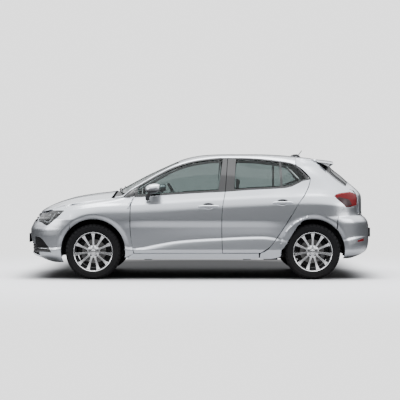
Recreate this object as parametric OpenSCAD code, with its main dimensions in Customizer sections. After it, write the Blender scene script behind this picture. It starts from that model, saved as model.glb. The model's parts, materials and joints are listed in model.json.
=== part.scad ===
// Five-door compact hatchback car, built as separate panels on real hinges.
// Front points to -X, the left side is -Y, up is +Z, millimetres throughout.
// Every skin panel is a slab laid on one shared body surface.

/* [Body] */
// Distance between the front and rear axles
wheelbase = 2552; // [2400:1:2700]
// Half of the greatest body width, mirrors left out
half_w = 889; // [840:1:930]
// How square the nose and tail corners are when seen from above
plan_power = 2.6; // [2:0.1:4]
// Gap between a moving panel and its neighbour
gap = 8; // [6:1:14]
// Gap between two fixed panels
seam = 3; // [1:1:6]

/* [Doors] */
// Depth of a whole door from skin to trim
door_t = 92; // [60:1:120]
// Depth of the frame around a door window
frame_t = 44; // [30:1:60]
// How much smaller the inner face of a door is than its skin
box_inset = 16; // [10:1:30]
// Thickness of the window glass
glass_t = 5; // [4:0.5:8]

/* [Wheels] */
// Outer radius of the tyre
tyre_r = 323; // [290:1:350]
// Width of the tyre
tyre_w = 215; // [165:1:245]
// Radius of the rim at its outer edge
rim_r = 232; // [190:1:260]
// Distance from the car's middle to the middle of a wheel
wheel_y = 762; // [700:1:800]
// Radius of a wheel arch opening
arch_r = 376; // [350:1:400]
// Number of spokes
spokes = 11; // [5:1:15]

/* [Output] */
// Which sub-part to draw

/* [Number plate carriers] */
// Width of a plate carrier
plate_w = 520; // [300:1:540]
// Height of a plate carrier
plate_h = 112; // [90:1:220]
// Distance between its two screws
plate_pitch = 300; // [150:5:480]
// Radius of a screw hole
plate_hole_r = 3; // [2:0.5:5]

/* [Hidden] */

front_x = -1232;
rear_x = front_x + wheelbase;
axle_z = tyre_r;
arch_z = axle_z + 6;
paint = [0.80, 0.81, 0.82];
dark = [0.10, 0.10, 0.11];
glass_c = [0.45, 0.52, 0.52, 0.45];
metal = [0.55, 0.56, 0.58];

// ---- the body surface --------------------------------------------------
// Nose outline on the centre line: [height, x, length of the corner]
nose_line = [
  [160, -1690, 560], [195, -1860, 600], [228, -1935, 660], [262, -2020, 740],
  [290, -2038, 740], [360, -2042, 740], [462, -2056, 740], [510, -2062, 740],
  [568, -2056, 740], [611, -2043, 740], [661, -2016, 740], [735, -1972, 720],
  [790, -1925, 690], [840, -1850, 620], [884, -1750, 560], [928, -1625, 520],
  [1000, -1260, 420]
];
// Tail outline on the centre line: [height, x, length of the corner]
tail_line = [
  [212, 1816, 560], [252, 1940, 600], [283, 2002, 640], [332, 2045, 680],
  [420, 2064, 700], [520, 2066, 700], [605, 2064, 700], [654, 2055, 690],
  [700, 2027, 670], [740, 1985, 650], [800, 1975, 640], [927, 1976, 640],
  [971, 1972, 640], [1026, 1940, 620], [1119, 1841, 600], [1212, 1742, 590],
  [1312, 1618, 560], [1360, 1570, 480], [1400, 1570, 420]
];
// Crown of the car on the centre line
crown_line = [
  [-1925, 792], [-1850, 838], [-1750, 884], [-1625, 928], [-1499, 963],
  [-1248, 1004], [-1000, 1036], [-924, 1072], [-800, 1138], [-614, 1235],
  [-428, 1321], [-304, 1376], [-180, 1423], [-60, 1452], [68, 1470],
  [316, 1479], [688, 1479], [998, 1467], [1246, 1442], [1395, 1422],
  [1440, 1402], [1520, 1378], [1584, 1348], [1618, 1312], [1742, 1212], [1841, 1119], [1940, 1026]
];
// Outer edge of bonnet, screen, roof and rear glass: [x, half width, height]
edge_line = [
  [-1925, 300, 772], [-1860, 500, 788], [-1756, 606, 812], [-1603, 655, 856],
  [-1462, 668, 886], [-1285, 672, 913], [-1045, 676, 942], [-1000, 680, 948],
  [-893, 744, 972], [-817, 740, 1034], [-699, 722, 1104], [-463, 684, 1240],
  [-227, 640, 1352], [9, 606, 1412], [245, 592, 1438], [481, 588, 1442],
  [717, 586, 1440], [953, 580, 1428], [1130, 576, 1412], [1339, 572, 1392],
  [1400, 574, 1350], [1487, 582, 1272], [1605, 598, 1166], [1700, 608, 1092],
  [1790, 600, 1020]
];
// Glass top edge and its half width: [x, half width, height]
frame_line = [
  [-1500, 668, 874], [-1285, 690, 906], [-1045, 700, 940], [-893, 778, 958],
  [-817, 768, 1023], [-699, 748, 1094], [-463, 706, 1229], [-227, 670, 1335],
  [9, 648, 1394], [245, 638, 1418], [717, 632, 1412], [953, 634, 1404],
  [1400, 640, 1400]
];
// Belt under the glass, ahead of the screen the crest of the fender
belt_line = [
  [-2060, 800, 700], [-1756, 800, 780], [-1603, 804, 826], [-1462, 806, 852],
  [-1285, 806, 880], [-1045, 808, 912], [-893, 814, 935], [-457, 820, 970],
  [10, 824, 1000], [593, 824, 1034], [1000, 812, 1056], [1300, 796, 1060],
  [1800, 790, 1040]
];
// Shoulder crease
shoulder_line = [
  [-2060, 858, 640], [-1603, 866, 770], [-1350, 872, 826], [-1102, 876, 850],
  [-801, 878, 857], [-395, 880, 873], [10, 880, 899], [473, 880, 922],
  [995, 878, 948], [1342, 872, 958], [1600, 866, 940], [2066, 860, 900]
];

function col(t, a, b) = [for (r = t) [r[a], r[b]]];
nose_x = col(nose_line, 0, 1);
nose_l = col(nose_line, 0, 2);
tail_x = col(tail_line, 0, 1);
tail_l = col(tail_line, 0, 2);
edge_y = col(edge_line, 0, 1);
edge_z = col(edge_line, 0, 2);
frame_y = col(frame_line, 0, 1);
frame_z = col(frame_line, 0, 2);
belt_y = col(belt_line, 0, 1);
belt_z = col(belt_line, 0, 2);
shoulder_y = col(shoulder_line, 0, 1);
shoulder_z = col(shoulder_line, 0, 2);

function mix(a, b, t) = a + (b - a) * t;
function clamp(v, a, b) = max(a, min(b, v));
function taper(f) = pow(max(0.0001, 1 - pow(clamp(f, 0, 1), plan_power)), 1 / plan_power);

// Narrowing of the flanks into the nose and the tail at one height
function plan(x, z) =
  let (
    nl = lookup(z, nose_l),
    tl = lookup(z, tail_l)
  )
  taper((lookup(z, nose_x) + nl - x) / nl) * taper((x - lookup(z, tail_x) + tl) / tl);

// Swelling of the flanks over the wheels
function flare(x) =
  exp(-pow((x - front_x) / 430, 4)) + exp(-pow((x - rear_x) / 430, 4));

// Full half width of the car at a place on the flank, before narrowing
function flank(x, z) =
  let (
    f = flare(x),
    rise = clamp((x + 770) / 1320, -0.5, 1) * 56,
    section = [
      [150, mix(800, 850, f)],
      [228, mix(846, 866, f)],
      [290, mix(866, 874, f)],
      [350, mix(884, 882, f)],
      [mix(424, 410, f) + rise * 0.3, mix(880, 882, f)],
      [mix(436, 450, f) + rise, mix(866, 882, f)],
      [mix(600, 580, f), mix(874, 886, f)],
      [735, half_w - 1],
      [lookup(x, shoulder_z) - 60, half_w],
      [lookup(x, shoulder_z), lookup(x, shoulder_y)],
      [
        mix(lookup(x, shoulder_z), lookup(x, belt_z), 0.45),
        mix(lookup(x, shoulder_y), lookup(x, belt_y), 0.55)
      ],
      [lookup(x, belt_z), lookup(x, belt_y)],
      [
        mix(lookup(x, belt_z), lookup(x, frame_z), 0.5),
        mix(lookup(x, belt_y), lookup(x, frame_y), 0.48) + (x > -893 ? 10 : 0)
      ],
      [lookup(x, frame_z), lookup(x, frame_y)]
    ]
  )
  lookup(z, section);

function side_y(x, z) = flank(x, z) * plan(x, z);

// Point on the flank, left side
function on_side(p) = [p[0], -side_y(p[0], p[1]), p[1]];

// Point on the top skin: bonnet, screen, roof and rear glass
function top_z(x, y) =
  mix(lookup(x, crown_line), lookup(x, edge_z), pow(abs(y) / lookup(x, edge_y), 2.1));
function on_top(p) = [p[0], p[1], top_z(p[0], p[1])];

// Point on the nose or tail at a turn t from the middle (0) to the flank (1)
function on_nose(t, z) =
  let (
    a = abs(t) * 90,
    l = lookup(z, nose_l),
    x = lookup(z, nose_x) + l * (1 - pow(cos(a), 2 / plan_power))
  )
  [x, sign(t) * flank(x, z) * pow(sin(a), 2 / plan_power), z];
function on_tail(t, z) =
  let (
    a = abs(t) * 90,
    l = lookup(z, tail_l),
    x = lookup(z, tail_x) - l * (1 - pow(cos(a), 2 / plan_power))
  )
  [x, sign(t) * flank(x, z) * pow(sin(a), 2 / plan_power), z];
// Turn at which the nose or tail reaches a given x
function nose_turn(x, z) =
  acos(pow(clamp(1 - (x - lookup(z, nose_x)) / lookup(z, nose_l), 0, 1), plan_power / 2)) / 90;
function tail_turn(x, z) =
  acos(pow(clamp(1 - (lookup(z, tail_x) - x) / lookup(z, tail_l), 0, 1), plan_power / 2)) / 90;

// ---- slabs ------------------------------------------------------------------
function along(line, t) =
  let (
    s = clamp(t, 0, 1) * (len(line) - 1),
    i = min(floor(s), len(line) - 2)
  )
  mix(line[i], line[i + 1], s - i);

// Grid filling the outline made by bottom, top, left and right lines
function fill(bottom, top, left, right, nu, nv) = [
  for (i = [0 : nu]) [
    for (j = [0 : nv])
      let (
        u = i / nu,
        v = j / nv
      )
      along(bottom, u) * (1 - v) + along(top, u) * v
        + along(left, v) * (1 - u) + along(right, v) * u
        - left[0] * (1 - u) * (1 - v) - right[0] * u * (1 - v)
        - left[len(left) - 1] * (1 - u) * v - right[len(right) - 1] * u * v
  ]
];

// Stacks a second grid on the last row of the first
function stack(a, b) = [
  for (i = [0 : len(a) - 1]) concat(a[i], [for (j = [1 : len(b[i]) - 1]) b[i][j]])
];

// Closed slab between two matching grids; cells in skip are left open, turn -1 reverses its faces
module slab(outer, inner, skip = [], turn = 1) {
  n = len(outer) - 1;
  m = len(outer[0]) - 1;
  c = m + 1;
  h = (n + 1) * c;
  function there(i, j) =
    i >= 0 && j >= 0 && i < n && j < m
    && len([for (s = skip) if (i >= s[0] && i < s[1] && j >= s[2] && j < s[3]) 1]) == 0;
  function id(i, j) = i * c + j;
  // Faces turn round when the grid runs the other way
  i0 = floor(n / 2);
  j0 = floor(m / 2);
  here = outer[i0][j0];
  way = turn * cross(outer[i0 + 1][j0] - here, outer[i0][j0 + 1] - here)
    * (here - inner[i0][j0]);
  function two(a, b, c2, d) =
    way > 0 ? [[c2, b, a], [d, c2, a]] : [[a, b, c2], [a, c2, d]];
  cells = [for (i = [0 : n - 1]) for (j = [0 : m - 1]) if (there(i, j)) [i, j]];
  faces = [
    for (q = cells)
      let (
        i = q[0],
        j = q[1],
        a = id(i, j),
        b = id(i + 1, j),
        d = id(i + 1, j + 1),
        e = id(i, j + 1)
      )
      for (f = concat(
        two(a, b, d, e),
        two(h + a, h + e, h + d, h + b),
        there(i, j - 1) ? [] : two(a, h + a, h + b, b),
        there(i, j + 1) ? [] : two(e, d, h + d, h + e),
        there(i - 1, j) ? [] : two(a, e, h + e, h + a),
        there(i + 1, j) ? [] : two(b, h + b, h + d, d)
      )) f
  ];
  used = [for (r = outer) for (p = r) p];
  back = [for (r = inner) for (p = r) p];
  polyhedron(points = concat(used, back), faces = faces, convexity = 8);
}

function map_side(g) = [for (r = g) [for (p = r) on_side(p)]];
function shift(g, d) = [for (r = g) [for (p = r) p + d]];

// Puts a left-hand piece on the side asked for: 1 left, -1 right
module on_hand(side) {
  if (side > 0) children();
  else mirror([0, 1, 0]) children();
}
module both() {
  on_hand(1) children();
  on_hand(-1) children();
}

// Side panel of even depth, with its inner edges drawn in by inset
module side_slab(g, depth, inset = 0, skip = []) {
  n = len(g) - 1;
  m = len(g[0]) - 1;
  small = [
    for (i = [0 : n]) [
      for (j = [0 : m])
        let (
          du = i == 0 ? g[1][j] - g[0][j] : i == n ? g[n - 1][j] - g[n][j] : [0, 0],
          dv = j == 0 ? g[i][1] - g[i][0] : j == m ? g[i][m - 1] - g[i][m] : [0, 0]
        )
        g[i][j] + (norm(du) > 0 ? du / norm(du) * min(inset, norm(du) * 0.6) : [0, 0])
          + (norm(dv) > 0 ? dv / norm(dv) * min(inset, norm(dv) * 0.6) : [0, 0])
    ]
  ];
  back = [for (i = [0 : n]) [for (j = [0 : m]) on_side(small[i][j]) + [0, depth(g[i][j][1]), 0]]];
  slab(map_side(g), back, skip);
}

// ---- doors ---------------------------------------------------------------------
// Shut lines and window lines, seen from the left: [x, height]
belt_front = [[-716, 992], [-457, 1001], [-223, 1016], [10, 1030], [221, 1041]];
top_front = [
  [-716, 1062], [-690, 1086], [-581, 1150], [-463, 1215], [-345, 1274],
  [-227, 1321], [-109, 1357], [9, 1380], [127, 1394], [278, 1403]
];
belt_rear = [
  [410, 1058], [593, 1065], [709, 1071], [884, 1080], [1000, 1090],
  [1059, 1102], [1117, 1124], [1262, 1184]
];
top_rear = [
  [433, 1404], [599, 1402], [717, 1392], [835, 1380], [953, 1366],
  [1071, 1345], [1120, 1326], [1172, 1280], [1232, 1222]
];

// Grid over a door: [columns][rows]; the window is the hole the caller skips
function door_grid(left_x, right_x, low, belt, top, corner, head, nu, nv) =
  let (
    first = belt[0],
    last = belt[len(belt) - 1]
  )
  [
    for (i = [0 : nu]) [
      for (j = [0 : nv + 3])
        let (
          u = (i - 1) / (nu - 2),
          b = i == 0 ? [lookup(first[1], left_x), first[1]]
            : i == nu ? [lookup(last[1], right_x), last[1]] : along(belt, u),
          t = i == 0 ? [lookup(top[0][1], left_x), top[0][1]]
            : i == nu ? corner : along(top, u)
        )
        j == nv + 3 ? [t[0], lookup(t[0], head) - gap / 2]
          : j == nv + 2 ? t
          : j == nv + 1 ? b
          : let (
              z = mix(low, b[1] - 26, j / nv),
              xl = lookup(z, left_x),
              xr = lookup(z, right_x),
              s = i == 0 ? 0 : i == nu ? 1 : mix(36 / (xr - xl), 1 - 36 / (xr - xl), u)
            )
            [mix(xl, xr, s), z]
    ]
  ];

front_left_x = [
  [300, -751], [404, -778], [520, -792], [636, -798], [751, -796], [844, -794],
  [885, -786], [925, -772], [962, -758], [1064, -746]
];
shut_x = [
  [300, 272], [440, 266], [578, 262], [680, 263], [790, 268], [879, 277],
  [925, 285], [995, 300], [1035, 305], [1240, 322], [1440, 338]
];
rear_right_x = [
  [306, 700], [326, 750], [352, 787], [386, 822], [461, 880], [542, 938],
  [670, 1019], [774, 1083], [914, 1170], [972, 1216], [1018, 1240],
  [1076, 1270], [1140, 1293], [1184, 1306], [1222, 1300]
];
front_head = [
  [-746, 1082], [-700, 1108], [-581, 1177], [-463, 1243], [-345, 1302],
  [-227, 1350], [-109, 1385], [9, 1408], [127, 1421], [334, 1429]
];
rear_head = [
  [336, 1429], [380, 1430], [599, 1428], [717, 1418], [835, 1406],
  [953, 1392], [1071, 1371], [1136, 1349], [1196, 1306], [1254, 1258], [1320, 1200]
];
door_nu = 12;
door_nv = 9;
front_grid = door_grid(
  front_left_x, [for (p = shut_x) [p[0], p[1] - gap / 2]], 306,
  belt_front, top_front, [330, 1404], front_head, door_nu, door_nv
);
rear_grid = door_grid(
  [for (p = shut_x) [p[0], p[1] + gap / 2]], rear_right_x, 310,
  belt_rear, top_rear, [1296, 1202], rear_head, door_nu, door_nv
);
window_cells = [[1, door_nu - 1, door_nv + 1, door_nv + 2]];
function door_depth(z) = mix(door_t, frame_t, clamp((z - 960) / 60, 0, 1));

module door(grid, side) {
  color(paint)
    on_hand(side)
      side_slab(grid, function (z) door_depth(z), box_inset, window_cells);
}

// Pane filling a door's window opening
module door_glass(belt, top, side) {
  panes = door_nu - 2;
  g = [
    for (i = [0 : panes]) [
      for (j = [0 : 4])
        mix(along(belt, i / panes) + [0, 1], along(top, i / panes) - [0, 1], j / 4)
          + [i == 0 ? 1 : i == panes ? -1 : 0, 0]
    ]
  ];
  color(glass_c)
    on_hand(side)
      slab(
        [for (r = g) [for (p = r) on_side(p) + [0, 9, 0]]],
        [for (r = g) [for (p = r) on_side(p) + [0, 9 + glass_t, 0]]]
      );
}

// ---- fixed side panels -----------------------------------------------------------
function turn_at(a) = [arch_r * cos(a), arch_r * sin(a)];

module front_fender() {
  arc = [for (i = [0 : 12]) [front_x, arch_z] + turn_at(mix(136, -11, i / 12))];
  g = fill(
    arc,
    [
      [-1580, 800], [-1540, 853], [-1462, 872], [-1370, 888], [-1285, 902],
      [-1160, 919], [-1045, 934], [-940, 948], [-785, 950], [-806, 885],
      [-808, 640], [-800, 520], [-762, 300]
    ],
    [arc[0], [-1510, 688], [-1550, 745], [-1580, 800]],
    [arc[12], [-850, 262], [-806, 280], [-762, 300]],
    24, 7
  );
  color(paint) side_slab(g, function (z) z > 700 ? 14 : 24);
}

module quarter_panel() {
  arc = [for (i = [0 : 12]) [rear_x, arch_z] + turn_at(mix(188, 43, i / 12))];
  low = concat([[700, 240], [820, 242]], arc);
  tip = [1566, 966];
  lamp_low = [
    [1143, 861], [1250, 890], [1350, 915], [1460, 942], tip, [1600, 938],
    [1640, 904], [1680, 872], [1712, 838]
  ];
  lamp_top = [
    [1198, 934], [1290, 950], [1380, 962], [1470, 972], [1566, 976], [1620, 1000],
    [1680, 1012], [1735, 1020], [1782, 1024]
  ];
  lower = fill(
    low, lamp_low,
    [low[0], [716, 304], [758, 322], [795, 348], [830, 382], [888, 457], [946, 538], [1027, 666], [1091, 770], [1143, 861]],
    [arc[12], [1600, 650], [1606, 706], [1652, 784], [1692, 832], [1712, 838]],
    16, 8
  );
  upper = fill(
    lamp_top, roof_edge,
    [[1198, 934], [1225, 972], [1249, 1016], [1279, 1073], [1302, 1138], [1316, 1186], [1312, 1214], [1266, 1264], [1206, 1320], [1142, 1404]],
    [[1782, 1024], [1772, 1046], [1735, 1074], [1690, 1090], [1600, 1158], [1482, 1264], [1420, 1318], [1386, 1346], [1382, 1382]],
    16, 8
  );
  gap_row = [for (i = [0 : 16]) [lower[i][8], upper[i][0]]];
  g = stack(stack(lower, gap_row), upper);
  color(paint) side_slab(g, function (z) 26, 0, [[8, 16, 8, 9]]);
}

module sill() {
  start = [[236, -842], [262, -836], [293, -766]];
  g = [for (i = [0 : 12]) [for (z = [236, 262, 293]) [mix(lookup(z, start), 692, i / 12), z]]];
  color(paint) side_slab(g, function (z) 120);
}

// Rail over the doors: from the foot of the screen pillar to the tailgate
rail_x = [
  -985, -930, -880, -820, -766, -748, -690, -580, -463, -345, -227, -109, 9,
  127, 245, 363, 481, 599, 717, 835, 953, 1042, 1134, 1142, 1220, 1300, 1382
];
roof_edge = [[1142, 1404], [1220, 1400], [1300, 1392], [1382, 1382]];
function rail_low(x) =
  x < -757 ? lookup(x, [[-985, 952], [-880, 958], [-766, 968]])
    : x > 1140 ? lookup(x, roof_edge) + seam
    : lookup(x, concat(front_head, rear_head)) + gap / 2;
module roof_rail() {
  function lower(x) = let (z = rail_low(x)) [x, -side_y(x, z), z];
  function upper(x) =
    let (y = lookup(x, edge_y) + (x < -300 ? -14 : -28))
    [x, -y, top_z(x, y)];
  function middle(x) =
    let (
      a = lower(x),
      b = upper(x)
    )
    (a + b) / 2 + [0, -6, 8];
  outer = [for (x = rail_x) [lower(x), middle(x), upper(x)]];
  back = [
    for (p = outer)
      let (t = lookup(p[0][0], [[-300, 0], [20, 1]]))
      [
        p[0] + [0, 10 + 24 * t, 8 * t - 4],
        p[1] + [6 * t, 4 + 26 * t, -12 - 14 * t],
        p[2] + [12 * t, 4 - 2 * t, -11 - 23 * t]
      ]
  ];
  color(paint) slab(outer, back, [], -1);
}

// Post between the doors, behind their inner faces
module b_pillar() {
  post = [
    [270, 288, 700], [520, 286, 700], [900, 290, 700], [1060, 300, 684], [1200, 312, 632],
    [1380, 330, 560]
  ];
  ring = [
    for (p = post) [
      for (c = [[-58, 0], [58, 0], [46, 60], [-46, 60]])
        [p[1] + c[0], -p[2] + c[1], p[0]]
    ]
  ];
  faces = concat(
    [[0, 1, 2, 3]],
    [
      for (k = [0 : 4])
        for (e = [0 : 3])
          let (
            a = 4 * k + e,
            b = 4 * k + (e + 1) % 4
          )
          [a + 4, b + 4, b, a]
    ],
    [[23, 22, 21, 20]]
  );
  color(dark) polyhedron(points = [for (r = ring) for (p = r) p], faces = faces);
}

// ---- top panels -------------------------------------------------------------------
module roof_panel() {
  front = [[-236, 552], [-244, 420], [-256, 220], [-262, 0]];
  g = [
    for (i = [0 : 20]) [
      for (j = [-8 : 8])
        let (
          v = j / 8,
          x0 = along(front, 1 - abs(v)),
          x1 = 1384,
          x = mix(x0[0], x1, i / 20)
        )
        on_top([x, -v * (lookup(x, edge_y) - 32)])
    ]
  ];
  color(paint) slab(g, shift(g, [0, 0, -30]));
}

bonnet_edge = [
  [-1905, 400], [-1850, 512], [-1756, 602], [-1603, 651], [-1462, 664],
  [-1285, 668], [-1120, 671], [-1046, 672]
];
function bonnet_front(v) = lookup(abs(v), [[0, -1926], [0.5, -1918], [0.8, -1908], [1, -1900]]);
function bonnet_rear(v) = lookup(abs(v), [[0, -1016], [0.6, -1020], [1, -1040]]);

module bonnet() {
  g = [
    for (i = [0 : 16]) [
      for (j = [-8 : 8])
        let (
          v = j / 8,
          x = mix(bonnet_front(v), bonnet_rear(v), pow(i / 16, 1.3))
        )
        on_top([x, -v * lookup(x, bonnet_edge)])
    ]
  ];
  small = [
    for (i = [0 : 16]) [
      for (j = [0 : 16])
        let (
          p = g[i][j],
          k = j == 0 ? 1 : j == 16 ? -1 : 0,
          m = i == 0 ? 14 : i == 16 ? -14 : 0,
          rim = k == 0 && i > 0 ? 26 : 12
        )
        p + [m, k * 14, -rim]
    ]
  ];
  color(paint) slab(g, small);
}

module windscreen() {
  foot = [[-972, 0], [-968, 200], [-950, 420], [-916, 580], [-872, 690]];
  head = [[-276, 0], [-274, 200], [-268, 400], [-258, 500], [-250, 586]];
  g = [
    for (i = [0 : 12]) [
      for (j = [-8 : 8])
        let (
          v = abs(j) / 8,
          a = along(foot, v),
          b = along(head, v),
          x = mix(a[0], b[0], i / 12),
          y = mix(a[1], b[1], i / 12)
        )
        on_top([x, -sign(j) * min(y, lookup(x, edge_y) - 20)])
    ]
  ];
  color(glass_c) slab(shift(g, [0, 0, -2]), shift(g, [3, 0, -8]));
}

module cowl_and_wipers() {
  g = [
    for (i = [0 : 3]) [
      for (j = [-8 : 8])
        let (
          v = abs(j) / 8,
          a = lookup(v, [[0, -988], [0.6, -992], [1, -1008]]),
          b = lookup(v, [[0, -976], [0.6, -952], [1, -900]]),
          x = mix(a, b, i / 3)
        )
        on_top([x, -sign(j) * v * 668]) - [0, 0, 16]
    ]
  ];
  color(dark) {
    slab(g, shift(g, [10, 0, -40]));
  }
}

// ---- nose -------------------------------------------------------------------------
lamp_low_line = [
  [-1905, 672], [-1850, 656], [-1824, 642], [-1788, 625], [-1765, 634],
  [-1718, 672], [-1659, 719], [-1612, 766], [-1584, 795]
];
lamp_top_line = [
  [-1896, 752], [-1876, 766], [-1847, 780], [-1812, 789], [-1753, 799],
  [-1694, 804], [-1640, 806], [-1590, 806]
];
function low_edge(x) = lookup(x, [
  [-2060, 262], [-2000, 236], [-1932, 208], [-1859, 190], [-1786, 182], [-1600, 190]
]);

module front_bumper() {
  n = 24;
  rows = [0, 0.10, 0.24, 0.42, 0.56, 0.70, 0.84, 1];
  // Upper edge: level over the grille, then under the headlamp
  function brow(x) =
    x < -1905 ? lookup(x, [[-2060, 756], [-1960, 752], [-1916, 736], [-1906, 672]])
      : lookup(x, lamp_low_line) - 6;
  function settle(u, z, left) =
    left == 0 ? z
      : settle(u, mix(z, brow(on_nose(nose_turn(end_x(z), z) * pow(u, 0.9), z)[0]), 0.5), left - 1);
  function head_z(u) = settle(u, 740, 24);
  function foot_z(u) = lookup(u, [[0, 232], [0.4, 212], [0.7, 190], [1, 196]]);
  function end_x(z) =
    z > 585 ? lookup(z, [[585, -1515], [692, -1516], [745, -1556], [792, -1588]])
      : front_x - sqrt(pow(arch_r + 2, 2) - pow(z - arch_z, 2)) - 2;
  outer = [
    for (i = [-n : n]) [
      for (j = [0 : 7])
        let (
          u = abs(i) / n,
          z = mix(foot_z(u), head_z(u), rows[j]),
          t = nose_turn(end_x(z), z) * pow(u, 0.9)
        )
        on_nose(-sign(i) * t, z)
    ]
  ];
  back = [
    for (i = [-n : n]) [
      for (j = [0 : 7])
        let (
          p = outer[i + n][j],
          u = abs(i) / n
        )
        p + [24 * (1 - u * u), -sign(p[1]) * 22 * u, 0]
    ]
  ];
  color(paint)
    slab(outer, back, [[n - 13, n + 13, 1, 3], [n - 8, n + 8, 6, 7]]);
}

module grille() {
  color(dark)
    for (b = [[-0.36, 0.36, 300, 442, 30], [-0.25, 0.25, 692, 738, 22]]) {
      g = [
        for (i = [0 : 12]) [
          for (j = [0 : 2])
            on_nose(-mix(b[0], b[1], i / 12), mix(b[2], b[3], j / 2)) + [b[4], 0, 0]
        ]
      ];
      slab(g, shift(g, [40, 0, 0]));
    }
}

// Flat carriers that the number plates screw to, on the front and rear bumpers
module plate_holders() {
  color(dark)
    for (p = [[-2069, 404], [2066.6, 470]])
      translate([p[0], -plate_w / 2, p[1]])
        difference() {
          cube([7.4, plate_w, plate_h]);
          for (y = [-plate_pitch / 2, plate_pitch / 2])
            translate([-1, plate_w / 2 + y, plate_h / 2])
              rotate([0, 90, 0]) cylinder(h = 10, r = plate_hole_r);
        }
}

module headlamp() {
  g = [
    for (i = [0 : 12]) [
      for (j = [0 : 5])
        let (
          x = mix(-1890, -1616, i / 12),
          z = mix(lookup(x, lamp_low_line) + 6, lookup(x, lamp_top_line) - 18, j / 5)
        )
        on_nose(nose_turn(x, z), z)
    ]
  ];
  flip = [for (r = g) [for (p = r) [p[0], -p[1], p[2]]]];
  back = [
    for (i = [0 : 12])
      [for (p = flip[i]) p + [mix(50, 0, min(1, i / 6)), mix(24, 40, i / 12), 0]]
  ];
  color(glass_c) slab(flip, back);
}

// ---- tail ---------------------------------------------------------------------------
module rear_bumper() {
  n = 12;
  function head_z(u) = lookup(u, [[0, 744], [0.56, 744], [0.58, 760], [0.74, 838], [0.80, 836], [1, 836]]);
  function foot_z(u) = lookup(u, [[0, 288], [0.5, 268], [1, 246]]);
  function end_x(z) =
    z > 592 ? lookup(z, [[592, 1614], [706, 1618], [790, 1666], [836, 1708]])
      : rear_x + sqrt(pow(arch_r + 2, 2) - pow(z - arch_z, 2)) + 2;
  outer = [
    for (i = [-n : n]) [
      for (j = [0 : 8])
        let (
          u = abs(i) / n,
          z = mix(foot_z(u), head_z(u), j / 8),
          t = tail_turn(end_x(z), z) * pow(u, 0.9)
        )
        on_tail(sign(i) * t, z)
    ]
  ];
  back = [
    for (i = [-n : n]) [
      for (j = [0 : 8])
        let (
          p = outer[i + n][j],
          u = abs(i) / n
        )
        p + [-24 * (1 - u * u), -sign(p[1]) * 22 * u, 0]
    ]
  ];
  color(paint) slab(outer, back);
}

module tail_lamp() {
  low = [[1584, 962], [1608, 946], [1648, 912], [1688, 878], [1720, 854], [1790, 862], [1854, 866]];
  top = [[1584, 970], [1614, 982], [1652, 994], [1700, 1003], [1740, 1008], [1800, 1008], [1852, 998]];
  g = [for (i = [0 : 12]) [for (j = [0 : 4]) mix(along(low, i / 12), along(top, i / 12), j / 4)]];
  outer = map_side(g);
  back = [for (i = [0 : 12]) [for (p = outer[i]) p + [-mix(4, 50, i / 12), 40, 0]]];
  color([0.7, 0.05, 0.05]) slab(outer, back);
}

// ---- tailgate --------------------------------------------------------------------------
gate_edge = [[1394, 554], [1440, 556], [1500, 562], [1605, 577], [1700, 584], [1760, 582], [1806, 570]];
module tailgate() {
  n = 8;
  // Rows run from the hinge edge over the glass and down the back
  xs = [1394, 1440, 1500, 1560, 1605, 1655, 1705, 1755];
  zs = [1052, 1020, 986, 940, 880, 820, 754];
  function ends(z) = lookup(z, [[754, 0.35], [820, 0.37], [880, 0.39], [986, 0.40], [1052, 0.41]]);
  upper = [
    for (j = [-n : n])
      let (v = j / n)
      [
        for (x = xs)
          let (x2 = x + (x - 1394) / 361 * 86 * (1 - v * v))
          on_top([x2, v * (lookup(x2 - (x - 1394) / 361 * 86 * (1 - v * v), gate_edge))])
      ]
  ];
  lower = [for (j = [-n : n]) [for (z = zs) on_tail(ends(z) * j / n, z)]];
  outer = [for (j = [0 : 2 * n]) concat(upper[j], lower[j])];
  m = len(xs) + len(zs) - 1;
  back = [
    for (j = [0 : 2 * n]) [
      for (i = [0 : m])
        let (
          p = outer[j][i],
          k = j == 0 ? 1 : j == 2 * n ? -1 : 0
        )
        p + [i == 0 ? 12 : -mix(6, 34, clamp(i / 9, 0, 1)), k * 14, i == m ? 12 : -mix(26, 0, clamp(i / 9, 0, 1))]
    ]
  ];
  color(paint) slab(outer, back, [[2, 2 * n - 2, 3, 7]]);
}

module tailgate_glass() {
  n = 6;
  xs = [1563, 1605, 1655, 1705, 1746];
  g = [
    for (j = [-n : n])
      let (v = j / 8)
      [
        for (x = xs)
          let (
            d = (x - 1394) / 361 * 86 * (1 - v * v),
            w = lookup(x, gate_edge)
          )
          on_top([x + d, v * w - sign(j) * (abs(j) == n ? 1 : 0)])
      ]
  ];
  color(glass_c) slab(shift(g, [-3, 0, -2]), shift(g, [-7, 0, -6]));
}

// Lip over the rear window: top and underside lines, [x, height]
lip_top = [[1432, 1416], [1494, 1408], [1560, 1400], [1617, 1391]];
lip_under = [[1432, 1410], [1494, 1393], [1560, 1370], [1600, 1365]];
module spoiler() {
  function row(line, v) = [
    for (i = [0 : 6])
      let (p = along(line, i / 6))
      [p[0] - 60 * pow(abs(v), 3) * i / 6, v * 548, p[1] - 44 * pow(abs(v), 2.4)]
  ];
  color(paint)
    slab(
      [for (j = [-10 : 10]) row(lip_top, j / 10)],
      [for (j = [-10 : 10]) row(lip_under, j / 10)]
    );
}

// ---- mirrors -------------------------------------------------------------------------------
module mirror_housing(side) {
  arm = [66, -76, 84];
  color(paint)
    on_hand(side) {
      translate([-520, -948, 1058])
        scale([0.72, 1.15, 0.66])
          sphere(r = 82);
      translate([-596, -872, 956])
        rotate([0, acos(arm[2] / norm(arm)), atan2(arm[1], arm[0])])
          cylinder(h = norm(arm), r = 20);
      translate([-600, -872, 962])
        rotate([0, 8, 0])
          cube([90, 34, 40], center = true);
    }
}

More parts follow.
